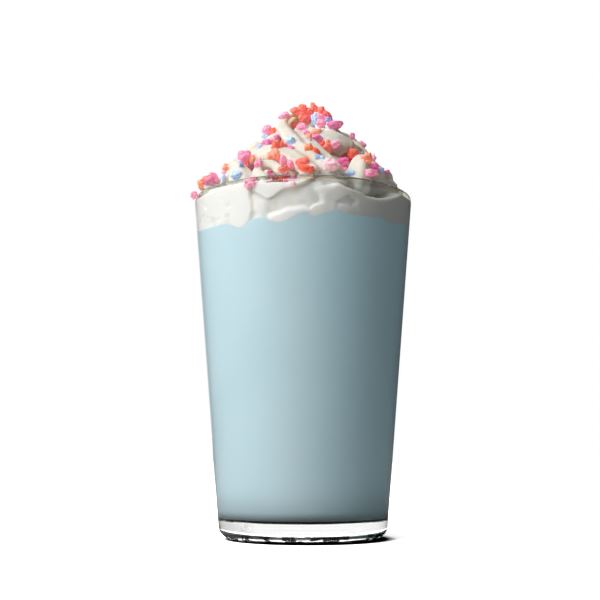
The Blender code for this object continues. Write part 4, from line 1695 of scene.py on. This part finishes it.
@dataclass(frozen=True)
class Studio:
    """White backdrop and floor, a large soft light at the left, and little light from elsewhere."""

    key_angle: float = -52.0
    key_rise: float = 36.0
    key_distance: float = 0.75
    key_size: float = 0.55
    key_power: float = 7.7
    fill: Colour = (0.195, 0.205, 0.215)
    softbox_glow: float = 13.0
    floor_tint: Colour = (1.06, 1.0, 0.95)
    floor_gain: float = 6.0
    floor_bounce: float = 0.3
    floor_drop: float = 0.25 * MM
    # Painted contact shadow: the floor goes dark inside this ring round the foot, shifted to the right
    painted_shadow_from: float = 29.0 * MM
    painted_shadow_to: float = 34.5 * MM
    painted_shadow_shift: float = 1.8 * MM
    key_target: float = 110 * MM
    floor_half: float = 4.0
    floor_grain: float = 60.0
    floor_tones: Span = (0.97, 1.0)
    wall_ahead: Span = (0.0, 0.3)
    wall_top: Span = (0.34, 0.52)
    wall_left: Span = (-0.5, -0.12)
    wall_right: Span = (0.09, 0.21)
    left_glow: tuple = (-0.45, -0.9, 0.0, 0.25)
    strip_foot: Span = (0.20, 0.22)
    strip_head: Span = (0.25, 0.27)
    strip_across: Span = (-0.35, 0.1)
    strip_ahead: Span = (0.2, 0.5)
    room: float = 0.03
    glass_room: Colour = (0.04, 0.04, 0.035)

    def key_light(self) -> None:
        """Make the large light at the left."""
        data = bpy.data.lights.new("key light", "AREA")
        data.shape = "SQUARE"
        data.size = self.key_size
        data.energy = self.key_power
        light = bpy.data.objects.new("key light", data)
        target = Vector((0, 0, self.key_target))
        rise = math.radians(self.key_rise)
        reach = self.key_distance * math.cos(rise)
        light.location = target + at_angle(self.key_angle, reach, self.key_distance * math.sin(rise))
        light.rotation_euler = (target - light.location).to_track_quat("-Z", "Y").to_euler()
        light.visible_glossy = False
        bpy.context.scene.collection.objects.link(light)

    def world(self) -> None:
        """Make the surroundings: a studio as the camera and the glass see it, and soft fill elsewhere."""
        world = bpy.data.worlds.new("studio")
        bpy.context.scene.world = world
        world.use_nodes = True
        board = Board(world.node_tree)
        rays = board.add("LightPath").outputs
        x, y, z = board.add("SeparateXYZ", Vector=board.add("TexCoord").outputs["Generated"]).outputs
        ahead = board.spread(y, *self.wall_ahead)
        wall = board.math("MULTIPLY", ahead, board.spread(z, *self.wall_top, 1.0, 0.0))
        centred = board.math(
            "MULTIPLY", board.spread(x, *self.wall_left), board.spread(x, *self.wall_right, 1.0, 0.0)
        )
        mirrored = board.math("MULTIPLY", wall, centred)
        mirrored = board.math("MAXIMUM", mirrored, board.spread(x, *self.left_glow))
        strip = board.math(
            "MULTIPLY", board.spread(z, *self.strip_foot), board.spread(z, *self.strip_head, 1.0, 0.0),
            board.spread(x, *self.strip_across, 1.0, 0.0), board.spread(y, *self.strip_ahead, 1.0, 0.0),
            self.softbox_glow,
        )
        glossy = board.tinted(board.math("ADD", mirrored, strip, self.room), WHITE)
        clear = board.blend(wall, self.glass_room, WHITE)
        seen = board.blend(rays["Is Transmission Ray"], glossy, clear)
        straight = board.blend(rays["Is Camera Ray"], seen, WHITE)
        looks = board.math(
            "MAXIMUM", rays["Is Camera Ray"], rays["Is Transmission Ray"], rays["Is Glossy Ray"]
        )
        backdrop = world.node_tree.nodes["Background"]
        board.fill(backdrop, Color=board.blend(looks, self.fill, straight))

    def floor(self) -> None:
        """Make the pale floor, which stays white round the glass but for a painted contact shadow at its
        foot.
        """
        half, z = self.floor_half, -self.floor_drop
        points = np.array([(-half, -half, z), (half, -half, z), (half, half, z), (-half, half, z)])
        floor = show_mesh("floor", points, [(0, 1, 2, 3)])
        material, board, _ = new_material("pale floor", {})
        x, y, _ = board.position()
        # Painted contact shadow: dark near the foot, shifted to the right, white farther out
        flat = board.add("CombineXYZ", X=board.math("SUBTRACT", x, self.painted_shadow_shift), Y=y)
        away = board.add("VectorMath", Vector=flat.outputs[0])
        away.operation = "LENGTH"
        outside_painted_shadow = board.spread(away.outputs["Value"], self.painted_shadow_from, self.painted_shadow_to)
        grain = board.add("TexNoise", Scale=self.floor_grain)
        tone = board.spread(grain.outputs[0], 0.0, 1.0, *self.floor_tones)
        rays = board.add("LightPath").outputs
        seen = board.math("MAXIMUM", rays["Is Camera Ray"], rays["Is Transmission Ray"])
        gain = board.spread(seen, 0.0, 1.0, self.floor_bounce, self.floor_gain)
        level = board.math("MULTIPLY", tone, gain, outside_painted_shadow)
        board.surface(board.add("BsdfDiffuse", Color=board.tinted(level, self.floor_tint)))
        floor.data.materials.append(material)

    def build(self) -> None:
        """Make the studio and keep its whites white."""
        self.key_light()
        self.world()
        self.floor()
        bpy.context.scene.view_settings.view_transform = "Standard"


def report(piece: bpy.types.Object) -> None:
    """Log one piece's name and number of faces."""
    log.info("%s: %d faces", piece.name, len(piece.data.polygons))


def main() -> None:
    logging.basicConfig(level=logging.INFO, format="%(name)s %(message)s")
    effects = {group.name: group for group in (mottle_group(), relief_group(), fleck_group())}
    viewpoint = Viewpoint()
    viewpoint.build()
    tumbler = Tumbler()
    report(tumbler.build(GlassFinish(effects)))
    shake = Shake(tumbler)
    report(shake.build(ShakeFinish(effects)))
    cream = WhippedCream(tumbler, shake, viewpoint).build(CreamFinish(effects, rim_height=tumbler.height))
    report(cream)
    for piece in CrumbTopping(cream, tumbler, viewpoint).build(effects):
        report(piece)
    Studio().build()


if __name__ == "__main__":
    main()
